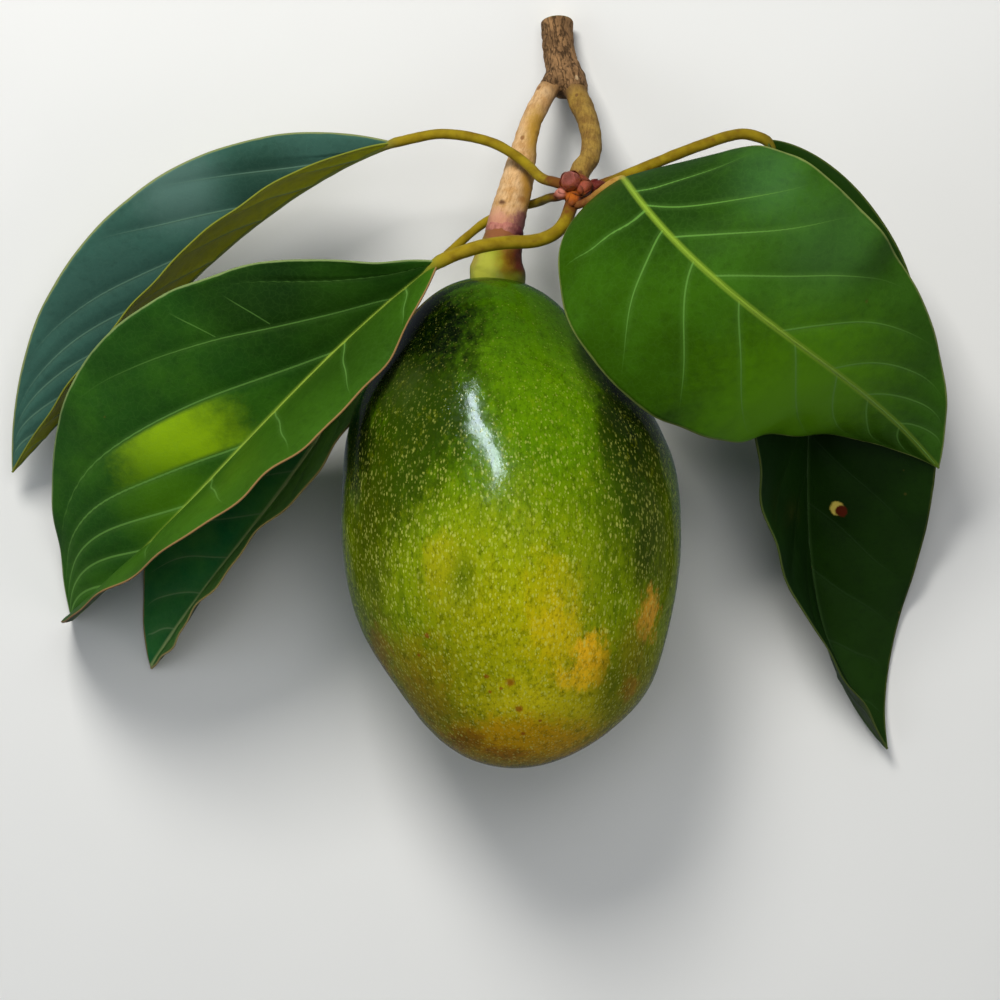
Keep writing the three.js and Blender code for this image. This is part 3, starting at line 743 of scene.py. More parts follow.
FRUIT_BANDS = [
    # tint, and the heights along the fruit between which it comes in
    ((118, 138, 8), 20, -12), ((122, 124, 8), -14, -38), ((134, 112, 8), -38, -54),
]
FRUIT_PATCHES = [
    # colour, place from above, radii across and along, strength, softness, raggedness
    # The next two rows are paler middle patches: yellowing skin lifted with painted light where the light
    # falls brightest.
    ((164, 164, 10), (1.0, -27.0), (12, 16), 0.8, 0.8, 0.6),
    ((138, 154, 14), (-2.0, -9.5), (11, 8), 0.5, 0.8, 0.7),
    ((196, 184, 22), (8.0, -42.5), (13, 6.5), 0.85, 0.7, 0.6),
    # The next six rows are painted shadow of the front left leaf over the upper left, laid on darker skin.
    # The (60, 70, 5) row is painted shade down the left flank.
    ((32, 52, 2), (-19.3, 23.0), (12.9, 17), 0.97, 0.55, 0.5),
    ((44, 64, 3), (-27.5, 7.0), (9.5, 13), 0.9, 0.65, 0.6),
    ((60, 70, 5), (-32.0, -8.0), (5, 20), 0.75, 0.8, 0.6),
    ((2, 11, 1), (-18.5, 41.5), (11.8, 11), 1.0, 0.55, 0.5),
    ((8, 20, 2), (-26.5, 32.0), (5.5, 7), 0.75, 0.6, 0.7),
    ((18, 30, 2), (-34.0, 18.0), (4.5, 10), 0.9, 0.6, 0.6),
    ((62, 80, 28), (-24.4, 27.7), (4.5, 5), 0.45, 0.8, 1.2),
    # The rows from here to (50, 60, 8) are dark bands down the right flank: painted shade there, with some
    # darker skin in it.
    ((28, 44, 3), (17.5, 34.5), (3.4, 9), 0.65, 0.7, 0.5),
    ((26, 38, 3), (22.5, 24.0), (3.8, 12), 0.75, 0.7, 0.5),
    ((12, 22, 1), (21.8, 17.0), (3.7, 12), 0.78, 0.7, 0.5),
    ((18, 28, 1), (25.4, 5.0), (2.4, 10), 0.65, 0.7, 0.5),
    ((30, 40, 2), (28.2, -10.0), (1.2, 9), 0.5, 0.7, 0.4),
    ((12, 21, 2), (28.0, 15.5), (6.0, 13), 0.94, 0.6, 0.5),
    ((42, 58, 6), (28.5, -3.0), (4.2, 12), 0.7, 0.7, 0.6),
    ((50, 60, 8), (32.5, 0.0), (4.0, 18), 0.6, 0.7, 0.6),
    ((156, 156, 12), (-15.5, -11.2), (3.6, 6.2), 0.75, 0.5, 0.7),
    ((146, 142, 8), (-11.0, -18.0), (8, 9), 0.45, 0.8, 0.9),
    ((166, 158, 10), (8.4, -17.5), (5.6, 7.5), 0.65, 0.6, 0.8),
    ((194, 170, 12), (9.5, -27.0), (6.5, 7), 0.7, 0.6, 0.8),
    ((236, 180, 28), (17.0, -32.0), (3.8, 5.4), 0.8, 0.42, 0.8),
    ((226, 182, 26), (13.6, -36.2), (4.8, 2.6), 0.75, 0.45, 0.8),
    ((226, 162, 44), (30.0, -22.0), (2.4, 4.8), 0.85, 0.55, 1.2),
    ((160, 104, 24), (26.0, -37.5), (2.4, 3), 0.65, 0.5, 1.0),
    ((64, 96, 10), (-10.5, -15.5), (2.6, 5), 0.5, 0.7, 0.9),
    # Painted shade on the right flank, with some darker skin in it.
    ((52, 78, 5), (21.8, 2.0), (4.2, 12), 0.58, 0.8, 0.8),
    ((64, 84, 10), (21.5, -38.0), (3.4, 8), 0.5, 0.7, 0.8),
    ((196, 146, 8), (2.0, -49.0), (14, 5.0), 0.85, 0.55, 0.6),
    ((132, 92, 22), (-29.2, -31.0), (2.6, 9), 0.6, 0.5, 0.8),
    ((112, 64, 8), (-10.0, -49.0), (5.0, 2.6), 0.7, 0.6, 1.2),
    ((124, 70, 12), (-1.5, -52.0), (4.5, 1.6), 0.6, 0.6, 1.2),
    ((132, 104, 12), (-20.0, -40.0), (7, 6), 0.6, 0.7, 0.9),
    ((146, 116, 10), (-21.0, -33.0), (7, 6), 0.45, 0.8, 0.9),
    ((126, 106, 12), (26.5, -30.0), (3.0, 7), 0.4, 0.7, 0.9),
]
SPECKS = [
    # spacing of the lenticels, how far they are drawn out lengthwise, and their largest radius
    (1.15, 0.5, 0.33), (0.85, 0.52, 0.27), (0.62, 0.56, 0.21),
]
FRUIT_SPOTS = [
    # small red-brown spots: place from above and radius
    (-5.5, -35.8, 0.6), (-4.8, -39.0, 0.4), (1.4, -42.5, 0.9), (-18.5, -26.9, 0.6), (2.3, -47.8, 0.5),
    (-2.4, -38.3, 0.4), (-0.5, -37.0, 1.0), (-20.4, -31.0, 0.4), (6.0, -45.0, 0.4),
]


def fruit_material():
    skin = Surface("fruit_skin", Specular_IOR_Level=0.1)
    along = skin.add("SeparateXYZ", skin.place).outputs[1]
    wander = skin.times(skin.minus(skin.noise(9, 5, roughness=0.65), 0.5), 30.0)
    level = skin.plus(along, wander)
    skin.base = skin.mix(skin.smooth(level, 50, 20), (58, 96, 4), (84, 122, 4))
    for tint, high, low in FRUIT_BANDS:
        skin.cover(tint, skin.smooth(level, high, low))
    streaks = skin.noise(3.4, 5, skin.stretched(1, 0.22, 1), 0.62)
    skin.cover((48, 80, 6), skin.smooth(streaks, 0.48, 0.68, 0, 0.45))
    for tint, (x, y), (across, tall), strength, soft, ragged in FRUIT_PATCHES:
        radii = (across, tall, 1.6 * max(across, tall))
        edge = (soft, 1.35 * ragged, 2.4, (1, 0.5, 1))
        skin.cover(tint, skin.patch(on_fruit(x, y), radii, *edge), strength)
    mottle = skin.noise(1.9, 6, skin.stretched(1, 0.6, 1), 0.75)
    skin.cover((46, 66, 2), skin.smooth(mottle, 0.5, 0.68, 0, 0.5))
    pale = skin.smooth(mottle, 0.46, 0.3, 0, 0.28)
    skin.cover((150, 156, 20), pale, skin.smooth(along, 46, 10, 0.1, 1.0))
    grain = skin.noise(0.7, 4, skin.stretched(1, 0.5, 1), 0.7)
    skin.cover((34, 48, 0), skin.smooth(grain, 0.48, 0.7, 0, 0.45))
    specks, proud = fruit_specks(skin, along)
    skin.cover((196, 200, 92), specks, skin.smooth(along, 42, -8, 0.18, 0.54))
    for x, y, radius in FRUIT_SPOTS:
        skin.cover((130, 58, 14), skin.patch(on_fruit(x, y), radius, 0.5, 0.9, 1.0), 0.75)
    pebbles, _ = skin.cells(0.8, feature="SMOOTH_F1")
    height = skin.plus(skin.times(pebbles, -0.15), skin.times(proud, 0.3))
    shine = skin.smooth(skin.noise(1.2, 4), 0.3, 0.8, 0.1, 0.2)
    return skin.finish(height, 0.08, 0.6, Roughness=shine)


def fruit_specks(skin, along):
    """Pale lenticels, longer than wide and thinning out towards the stalk, and their heights."""
    clumps = skin.smooth(skin.noise(5, 3), 0.32, 0.62, 0.6, 1.0)
    crowding = skin.smooth(along, 52, 4, 0.55, 1.0)
    shaken = skin.shaken(0.5, 0.4)
    found, heights = 0.0, 0.0
    for size, stretch, reach in SPECKS:
        tall = skin.vector("MULTIPLY", shaken, (1, stretch, 1))
        shifted = skin.vector("ADD", tall, (size * 7.3, size * 3.1, size * 5.7))
        distance, color = skin.cells(size, shifted)
        growth, brightness, _ = skin.add("SeparateColor", color).outputs
        radius = skin.times(skin.times(skin.smooth(growth, 0.0, 0.8), crowding), reach / size)
        mask = skin.smooth(skin.minus(distance, radius), 0.07, -0.12)
        mask = skin.times(mask, skin.smooth(brightness, 0.0, 1.0, 0.45, 1.0))
        found = skin.math("MAXIMUM", found, mask)
        heights = skin.math("MAXIMUM", heights, skin.smooth(distance, 0.3, 0.0))
    return skin.times(found, clumps), heights


def add_fruit():
    s = (1 - np.cos(np.linspace(0, math.pi, FRUIT_RINGS + 1))) / 2
    turn = np.linspace(0, 2 * math.pi, FRUIT_SIDES, endpoint=False)
    s, turn = np.meshgrid(s[1:-1], turn, indexing="ij")
    points = fruit_point(s, turn)
    outward = unit(np.stack([np.cos(turn), (0.5 - s) * 1.1, np.sin(turn)], -1))
    points = points + outward * skin_relief(points, s)[..., None]
    ends = fruit_point(np.array([0.0, 1.0]), np.zeros(2))
    faces = [face[::-1] for face in closed_rings(len(points), FRUIT_SIDES)]
    everything = np.vstack([points.reshape(-1, 3), ends])
    piece = add_mesh("fruit_skin", everything, faces, fruit_material())
    dress(piece, "fruit_skin", "fruit")
    return piece


# ---- Twig, stalks and buds ----

TWIG_WAY = (-0.12, 0.92, -0.38)
STALK_WAY = (-0.28, -0.82, 0.49)
SHOOT_WAY = (0.02, -0.67, 0.74)
SLEEVE = dict(length=5.0, proud=0.9, feather=0.05)  # of twig bark round the foot of each arm
CUT_DISC = dict(depths=(-0.05, 0.4), radii=[3.55, 3.6])  # of bare wood in the cut end
FUSING = dict(voxel=0.22, rounds=8)  # of the twig with the feet of its two arms
TWIG_LUMPS = [(0.1, 4.5, 21), (0.05, 1.5, 71, 36)]
SCARS = [((8.6, 110.6, 6.8), 1.3), ((14.6, 105.0, 9.6), 1.2)]  # old leaf scars: place and radius
SCAR_RIM, SCAR_PIT = 0.4, 0.15  # how far a scar's rim stands up and its middle lies down

# Patches of colour are tint, place, radii and strength.
SHOOT_PATCHES = [((116, 88, 56), (13.8, 101.0, 11.5), (5, 6, 5), 0.85)]
STALK_PATCHES = [
    ((124, 94, 60), (10.4, 101.6, 11.4), (5, 6, 5), 0.85),
    # The next two rows darken the stalk's right side: its golden tone with painted shade down that side.
    ((172, 130, 26), (6.4, 88.0, 24.0), (3.0, 8, 6), 0.8),
    ((166, 120, 30), (3.9, 75.0, 31.5), (1.7, 9, 6), 0.8),
    ((182, 122, 104), (-3.6, 66.6, 34.0), (4.4, 3.4, 6), 0.75),
    ((112, 54, 66), (2.6, 66.4, 34.0), (3.0, 3.4, 6), 0.85),
    ((84, 50, 34), (-2.1, 71.7, 33.0), (0.9, 0.6, 2), 0.9),
    ((140, 92, 40), (2.3, 72.5, 33.0), (0.9, 0.9, 2), 0.7),
]
COLLAR_PATCHES = [((82, 32, 44), (2.4, 64.6, 33.0), (3.0, 4, 6), 0.9)]
KNOB_PATCHES = [
    ((184, 184, 70), (-6.6, 57.0, 38), (3.4, 4, 6), 0.7),
    ((176, 140, 60), (-8.8, 60.5, 35), (1.6, 3, 6), 0.6),
    ((136, 100, 10), (0.4, 59, 38), (3.4, 7, 7), 0.85),
    ((86, 34, 12), (2.2, 59.5, 35), (3.2, 7.5, 8), 1.0),
    ((136, 84, 50), (-1.8, 64.6, 36), (7, 3.2, 6), 1.0),
    ((112, 128, 20), (1.4, 53.6, 38), (4.4, 2.0, 8), 0.7),
]
BUD_PATCHES = [
    # places from the bud heart
    # The first row and the (206, 132, 116) row are painted highlights: pink-white glints on two buds.
    ((196, 112, 104), (-1.8, 2.6, 4.6), 1.9, 0.8),
    ((160, 84, 72), (1.2, 0.8, 4.6), 1.6, 0.6),
    ((88, 30, 30), (4.6, 1.0, 1.8), 2.2, 0.85),
    ((172, 92, 22), (-1.6, -2.6, 3.6), 2.0, 0.8),
    ((206, 132, 116), (-3.9, -1.0, 3.0), 1.2, 0.8),
    ((96, 62, 26), (0, 0, 0), 3.4, 0.7),
]


def bark_material(name, pale, dark, spot, lengthwise, roughness, depth=0.12, fissures=0.0, patches=()):
    """Woody skin with lengthwise grain, fissures, blotches and lenticels."""
    bark = Surface(name, Specular_IOR_Level=0.25)
    drawn = bark.drawn_out(lengthwise, 0.22)
    bark.base = bark.mix(bark.smooth(bark.noise(3.2, 5, roughness=0.65), 0.35, 0.68), pale, dark)
    fine = bark.noise(0.45, 5, drawn, 0.68)
    bark.cover(shade(dark, 0.72), bark.smooth(fine, 0.46, 0.7, 0, 0.5))
    bark.cover(shade(pale, 1.12), bark.smooth(fine, 0.5, 0.3, 0, 0.4))
    ridges = bark.math("ABSOLUTE", bark.minus(bark.noise(1.3, 4, drawn, 0.6), 0.5))
    cracks = bark.smooth(ridges, 0.05, 0.0)
    bark.cover(shade(dark, 0.5), cracks, fissures)
    spots = bark.dots(2.6, 0.55, 0.2, 0.05, bark.drawn_out(lengthwise, 0.7))
    bark.cover(spot, spots, 0.8)
    bark.cover_patches(patches, 0.5, 0.6, 1.6)
    height = bark.plus(fine, bark.times(spots, 0.5))
    height = bark.minus(height, bark.times(cracks, 1.4 * fissures))
    rough = bark.smooth(fine, 0.3, 0.8, roughness - 0.1, roughness + 0.1)
    return bark.finish(height, depth, 0.8, Roughness=rough)


def bark_relief(lumps, seed):
    """Ridges and fine bumps of the bark."""
    def relief(points):
        return lumps * (ripples(points, 4.5, seed) + 0.4 * ripples(points, 1.6, seed + 50, 36))
    return relief


def cut_end_material():
    """Pale wood with rings round a brown pith, on the sawn end."""
    wood = Surface("cut_wood", roughness=0.75)
    distance = wood.vector("LENGTH", wood.vector("SUBTRACT", wood.place, TWIG_START))
    distance = wood.plus(distance, wood.times(wood.noise(1.2, 3), 0.5))
    rings = wood.math("SINE", wood.times(distance, 9.0))
    wood.base = wood.mix(wood.smooth(rings, -1, 1, 0.2, 0.8), (206, 184, 132), (184, 154, 98))
    wood.cover((132, 92, 48), wood.smooth(distance, 1.0, 0.6))
    wood.cover((116, 116, 44), wood.smooth(distance, 3.1, 3.5))
    return wood.finish(wood.noise(0.4, 3), 0.08, 0.8)


def knob_material():
    """Yellow-green fleshy skin, paler on its left and brown on its right."""
    skin = Surface("knob_skin")
    skin.base = skin.mix(skin.smooth(skin.noise(2.2, 4), 0.35, 0.7), (146, 154, 40), (128, 132, 30))
    skin.cover_patches(KNOB_PATCHES, 0.6, 0.5, 2.0)
    shine = skin.smooth(skin.noise(1.2, 3), 0.3, 0.8, 0.42, 0.62)
    return skin.finish(skin.noise(0.7, 4), 0.14, 0.7, Roughness=shine)


def bud_material():
    """Shiny scales: orange-brown and maroon, with painted pink highlights on some."""
    scales = Surface("bud_scales", Specular_IOR_Level=0.5)
    blotches = scales.smooth(scales.noise(1.4, 4), 0.38, 0.62)
    scales.base = scales.mix(blotches, (150, 74, 30), (124, 48, 34))
    for tint, at, radius, strength in BUD_PATCHES:
        mask = scales.patch(np.add(BUD_HEART, at), radius, 0.4, 0.5, 1.0)
        scales.cover(tint, mask, strength)
    scales.cover((84, 44, 24), scales.smooth(scales.value_of("along"), 0.7, 1.0, 0, 0.75))
    shine = scales.smooth(scales.noise(0.8, 3), 0.3, 0.7, 0.22, 0.45)
    return scales.finish(scales.noise(0.35, 4), 0.06, 0.8, Roughness=shine)


def fused(shells):
    """One skin round several closed shells, with soft inner corners: points, normals and faces."""
    points, faces = joined(shells)
    rough = bpy.data.meshes.new("rough")
    rough.from_pydata(put(points).tolist(), [], faces)
    holder = add_object("rough", rough)
    remesh = holder.modifiers.new("remesh", "REMESH")
    remesh.mode = "VOXEL"
    remesh.voxel_size = FUSING["voxel"] * MM
    soften = holder.modifiers.new("soften", "SMOOTH")
    soften.iterations = FUSING["rounds"]
    done = holder.evaluated_get(bpy.context.evaluated_depsgraph_get()).to_mesh()
    read = {}
    for key in ("co", "normal"):
        numbers = np.empty(3 * len(done.vertices))
        done.vertices.foreach_get(key, numbers)
        read[key] = numbers.reshape(-1, 3)
    found = [tuple(face.vertices) for face in done.polygons]
    bpy.data.objects.remove(holder)
    bpy.data.meshes.remove(rough)
    return read["co"] / MM - ORIGIN, read["normal"], found


def sleeve_round(limb):
    """A tapering shell of twig bark round the first millimetres of an arm."""
    line = curve_points(limb["points"])
    line = evenly(line[run_along(line) <= SLEEVE["length"]], 24)
    radii = [limb["radii"][0] + SLEEVE["proud"], limb["radii"][0] + SLEEVE["feather"]]
    return tube(line, radii, 48, domes=(0.6, 0.1))


def add_twig():
    line = curve_points(TWIG["points"])
    trunk = tube(evenly(line, 60), TWIG["radii"], 64, domes=(0, 0.7))
    shells = [trunk, sleeve_round(FRUIT_STALK), sleeve_round(LEAFY_SHOOT)]
    points, normals, faces = fused(shells)
    relief = lumpy(points, TWIG_LUMPS)
    for at, radius in SCARS:
        away = np.linalg.norm(points - at, axis=1)
        relief = relief + SCAR_RIM * bump(away, radius, 0.5) - SCAR_PIT * bump(away, 0, 0.8 * radius)
    relief = relief * smooth(np.linalg.norm(points - TWIG_START, axis=1), 3.6, 4.6)
    bark = bark_material(
        "twig_bark", (150, 114, 76), (104, 78, 52), (190, 162, 124), TWIG_WAY, 0.85, 0.3, 0.75,
    )
    dress(add_mesh("twig_bark", points + normals * relief[:, None], faces, bark), "bark", "twig")

    forward = unit(line[1] - line[0])
    face = line[0] + np.outer(CUT_DISC["depths"], forward)
    points, faces = tube(face, CUT_DISC["radii"], 64, domes=(0.02, 0), cap_rings=10)
    dress(add_mesh("twig_cut_end", points, faces, cut_end_material()), "bark", "twig")


def add_stems():
    skin = bark_material(
        "shoot_bark", (152, 122, 54), (116, 84, 38), (92, 60, 32), SHOOT_WAY, 0.7, patches=SHOOT_PATCHES,
    )
    add_limb("leafy_shoot_bark", "young_bark", "leafy_shoot", LEAFY_SHOOT, skin, 0.09, 22, (0.6, 0.6))
    skin = bark_material(
        "stalk_skin", (206, 170, 124), (182, 138, 84), (124, 80, 44), STALK_WAY, 0.6, 0.08,
        patches=STALK_PATCHES,
    )
    add_limb("fruit_stalk_skin", "stalk_skin", "fruit_stalk", FRUIT_STALK, skin, 0.12, 23, (0.6, 0.3))
    skin = bark_material(
        "collar_bark", (186, 126, 110), (160, 98, 86), (110, 60, 48), STALK_WAY, 0.6, 0.08,
        patches=COLLAR_PATCHES,
    )
    domes = (0.25, 0.25)
    add_limb("stalk_collar_ring", "collar_bark", "stalk_collar", COLLAR, skin, 0.14, 24, domes, 64, 0.12)
    domes = (0.2, 0.3)
    add_limb("stalk_knob_skin", "knob_skin", "stalk_knob", KNOB, knob_material(), 0.14, 25, domes, 72, 0.25)


SCALE_TURN = 2.4  # radians round the bud from one scale to the next
SCALE_REACH = 1.15  # radians from a scale's middle to its side, at its foot
SCALE_THICKNESS = 0.16


def scale_of(bud, index, count):
    """One pointed, cupped scale that wraps a bud, as points, faces and values."""
    rows, columns = 16, 13
    b, a = np.meshgrid(np.linspace(0, 1, rows), np.linspace(-1, 1, columns), indexing="ij")
    layer = index / count
    around = index * SCALE_TURN + bud["heading"]
    width = SCALE_REACH * np.sqrt(np.clip(1 - b**2.2, 0, 1)) * (1 - 0.35 * layer)
    angle = around + a * width
    y = np.clip(-0.85 + (0.7 + 0.95 * layer) * b + 0.25 * layer, -1, 1.08)
    profile = np.sqrt(np.clip(1 - np.clip(y, -1, 1) ** 2, 0, 1)) * (1 - 0.3 * np.clip(y, 0, 1))
    lift = 1.03 + 0.1 * (1 - layer) + 0.12 * b**3 - 0.05 * a**2
    reach = profile * lift * bud["radius"]
    outer = np.stack([reach * np.cos(angle), y * bud["half"], reach * np.sin(angle)], -1)
    outward = unit(np.stack([np.cos(angle), 0.4 * y, np.sin(angle)], -1))
    inner = outer - outward * SCALE_THICKNESS * (1 - 0.6 * b)[..., None]
    points = np.vstack([outer.reshape(-1, 3), inner.reshape(-1, 3)])
    return points, slab(rows, columns), np.tile(b.reshape(-1), 2)


def bud_core(bud):
    """A smooth pointed oval."""
    rows, columns = 24, 32
    y = -np.cos(np.linspace(0.02, math.pi - 0.02, rows))
    width = np.sqrt(1 - y**2) * (1 - 0.35 * np.clip(y, 0, 1)) * bud["radius"]
    turn = np.linspace(0, 2 * math.pi, columns, endpoint=False)
    width, y = width[:, None], y[:, None] + 0 * turn
    rings = [width * np.cos(turn), y * bud["half"], width * np.sin(turn)]
    faces = [tuple(f[::-1]) for f in quads(rows, columns, wrap=True)]
    faces.append(tuple(range(columns)))
    faces.append(tuple((rows - 1) * columns + j for j in range(columns - 1, -1, -1)))
    return np.stack(rings, -1).reshape(-1, 3), faces, (y.reshape(-1) + 1) / 2


def add_buds():
    shells, along = [], []
    for bud in BUDS:
        aim = Vector(way(math.radians(bud["heading"]), math.radians(bud["pitch"])))
        turn = np.array(Vector((0, 1, 0)).rotation_difference(aim).to_matrix())
        count = max(6, round(3 * bud["radius"]))
        for points, faces, b in [bud_core(bud)] + [scale_of(bud, i, count) for i in range(count)]:
            shells.append((points @ turn.T + np.add(BUD_HEART, bud["at"]), faces))
            along.append(b)
    values = dict(along=np.concatenate(along))
    piece = add_mesh("bud_cluster_scales", *joined(shells), bud_material(), values)
    dress(piece, "bud_scales", "bud_cluster")


# ---- Leaves ----
# u runs across the blade from -1 at the right margin to 1 at the left, and t from 0 at its base
# to 1 at its tip.

CUPPING = 0.03  # how far each half bows, as a share of its width
QUILTING = 0.3  # how far the blade bulges between side veins
QUILT_WIDTH = 2.4  # of the dip at a side vein
WAVE_LENGTH = 23  # of the margin's waves
GROOVE = dict(width=0.7, above=0.1, below=0.28)  # the side vein's furrow above and ridge below
CREASE = 0.03  # how softly the halves fold at the midrib, as a share of the half width
VEIN_WOBBLE = 0.0025
BEFORE_BASE, PAST_TIP = -0.15, 1.1  # where the count of side veins starts and ends, as shares
NO_VEIN = 99  # a step so large that no vein is near
RIB_PROUD = 0.14  # how far the midrib stands above the blade
RIB_TIP_RADIUS = 0.22
RIB_STEP = 0.6
RIB_SIDES = 20
RIB_END = 0.985
RIB_TAPER = 1.3  # the power by which the midrib thins
STEM_FLARE = 0.03  # share of the blade over which the petiole thins into the midrib
STEM_SWELL = dict(share=0.35, length=2.5)  # of the petiole's foot at the buds


def midrib_of(leaf):
    """The midrib's points, from even steps along its heading and pitch."""
    t = (np.arange(MIDRIB_STEPS) + 0.5) / MIDRIB_STEPS
    heading, pitch = (np.radians(through(leaf[key], t)) for key in ("heading", "pitch"))
    steps = way(heading, pitch) * leaf["length"] / MIDRIB_STEPS
    return np.vstack([[0, 0, 0], np.cumsum(steps, axis=0)]) + np.array(leaf["base"])


def half_width(leaf, t):
    p, q = leaf["base_taper"], TIP_TAPER
    peak = p**p * q**q / (p + q) ** (p + q)
    width = leaf["half_width"] * (np.clip(t, 0, 1) ** p * np.clip(1 - t, 0, 1) ** q) / peak
    return np.maximum(width, LEAF_END_HALF_WIDTH)


def vein_count(leaf, side, t, left):
    """Counts the side veins up to a place on a half of the leaf, and is whole at each vein."""
    bend = np.sin(5 * side + 17 * t + leaf["seed"]) + 0.7 * np.sin(13 * side - 23 * t)
    t_bent = t + VEIN_WOBBLE * bend
    found = 0
    for half, here in ((leaf["veins_left"], left), (leaf["veins_right"], ~left)):
        lines = [(BEFORE_BASE, *half[0][1:]), *half, (PAST_TIP, 0, 1)]
        places = [start + forward * side**power for start, forward, power in lines]
        steps = (np.clip((t_bent - a) / (b - a), 0, 1) for a, b in zip(places, places[1:]))
        found = found + here * sum(steps)
    return found


def vein_place(leaf, u, t, left):
    """The count of side veins, and the millimetres by which it goes up one."""
    side = np.abs(u)
    nudge = 0.008
    near = np.maximum(side - nudge, 0)
    width = np.maximum(half_width(leaf, t), 1)
    place = vein_count(leaf, side, t, left)
    rise = vein_count(leaf, side, t + nudge, left) - vein_count(leaf, side, t - nudge, left)
    drift = vein_count(leaf, side + nudge, t, left) - vein_count(leaf, near, t, left)
    slope = np.hypot(rise / (2 * nudge * leaf["length"]), drift / ((side + nudge - near) * width))
    last = np.where(left, len(leaf["veins_left"]), len(leaf["veins_right"])) + 0.5
    near_vein = (place > 0.5) & (place < last)
    return np.clip(place, 0.5, last), np.where(near_vein, 1 / np.maximum(slope, 0.01), NO_VEIN)


def vein_distance(leaf, u, t):
    """Millimetres to the nearest side vein."""
    place, gap = vein_place(leaf, u, t, u > 0)
    return np.abs(place - np.round(place)) * gap


def blade_point(leaf, midrib, u, t):
    """The middle of the blade's thickness at a place across and along."""
    u, t = np.broadcast_arrays(u, t)
    steps = np.linspace(0, 1, MIDRIB_STEPS + 1)
    centre = np.stack([np.interp(t, steps, midrib[:, k]) for k in range(3)], -1)
    heading, pitch, roll = (np.radians(through(leaf[key], t)) for key in ("heading", "pitch", "roll"))
    left = np.stack([-np.sin(heading), np.cos(heading), 0 * heading], -1)
    up = np.cross(way(heading, pitch), left)
    across = left * np.cos(roll)[..., None] + up * np.sin(roll)[..., None]
    face = up * np.cos(roll)[..., None] - left * np.sin(roll)[..., None]
    blend = smooth(u, -CREASE, CREASE)
    fold = np.radians(leaf["fold_right"] * (1 - blend) + leaf["fold_left"] * blend)
    width = half_width(leaf, t)
    away = np.sqrt(u**2 + CREASE**2) - CREASE
    run, rise = width * u * np.cos(fold), width * away * np.sin(fold)
    outwards = face * np.cos(fold)[..., None] - across * (np.sign(u) * np.sin(fold))[..., None]
    point = centre + across * run[..., None] + face * rise[..., None]
    return point + outwards * blade_lift(leaf, u, t, width)[..., None]


def blade_lift(leaf, u, t, width):
    """How far the blade leaves its plain half: a slow cup, margin waves, ruffles and quilting."""
    side, seed = np.abs(u), leaf["seed"]
    lift = CUPPING * width * 4 * side * (1 - side)
    slow = np.sin(2 * math.pi * t * leaf["length"] / WAVE_LENGTH + seed + np.sign(u))
    wave = slow + 0.5 * np.sin(57 * t + 2 * seed)
    lift = lift + leaf["wave"] * wave * side**2.5 * smooth(t, 0, 0.15) * smooth(1 - t, 0, 0.1)
    for ruffle_side, at, spread, height in leaf["ruffles"]:
        lift = lift + height * bump(t, at, spread) * side**2 * (np.sign(u) == ruffle_side)
    bulge = 1 - np.exp(-((vein_distance(leaf, u, t) / QUILT_WIDTH) ** 2))
    calm = smooth(side, 0.02, 0.2) * smooth(1 - side, 0, 0.2)
    calm = calm * smooth(t, 0, 0.04) * smooth(1 - t, 0, 0.05)
    return lift + QUILTING * (bulge - 0.6) * calm


def blade_normal(leaf, midrib, u, t):
    small_u, small_t = 0.008, 0.003
    left, right = (blade_point(leaf, midrib, np.clip(u + s, -1, 1), t) for s in (small_u, -small_u))
    ahead, behind = (blade_point(leaf, midrib, u, np.clip(t + s, 0, 1)) for s in (small_t, -small_t))
    return unit(np.cross(ahead - behind, left - right))


def blade_grid():
    """Across and along values of the blade's grid, closer together at the midrib and the ends."""
    even = np.linspace(0, 1, BLADE_ROWS + 1)
    t = (even + (1 - np.cos(math.pi * even)) / 2) / 2
    half = np.linspace(0, 1, BLADE_COLUMNS // 2 + 1)
    half = 0.45 * half + 0.55 * half**1.7
    return np.meshgrid(np.concatenate([-half[:0:-1], half]), t)


def add_blade(leaf):
    u, t = blade_grid()
    midrib = midrib_of(leaf)
    middle = blade_point(leaf, midrib, u, t)
    normal = blade_normal(leaf, midrib, u, t)
    side = np.abs(u)
    groove = bump(vein_distance(leaf, u, t), 0, GROOVE["width"]) * smooth(1 - side, 0, 0.35)
    half_thick = LEAF_THICKNESS / 2 * (1 - 0.3 * smooth(side, 0.85, 1))
    top = middle + normal * (half_thick - GROOVE["above"] * groove)[..., None]
    bottom = middle - normal * (half_thick + GROOVE["below"] * groove)[..., None]
    faces = slab(*u.shape)[:, ::-1]
    width = half_width(leaf, t)
    values = dict(across=u, along=t, edge=width * (1 - side), rib=width * side)
    values = {key: np.tile(numbers.reshape(-1), 2) for key, numbers in values.items()}
    values["side"] = np.repeat([1.0, -1.0], u.size)
    points = np.vstack([top.reshape(-1, 3), bottom.reshape(-1, 3)])
    veins = corner_veins(leaf, u, t, faces)
    piece = add_mesh(leaf["name"] + "_blade", points, faces, leaf_material(leaf), values, veins)
    dress(piece, leaf["slot"], leaf["name"])


def corner_veins(leaf, u, t, faces):
    """The vein count and gap at each face corner, so that each half keeps its own veins."""
    corners = faces % u.size
    corner_u, corner_t = u.reshape(-1)[corners], t.reshape(-1)[corners]
    left = np.broadcast_to(corner_u.mean(1, keepdims=True) > 0, corners.shape)
    place, gap = vein_place(leaf, corner_u, corner_t, left)
    return dict(vein=place.reshape(-1), vein_gap=gap.reshape(-1))


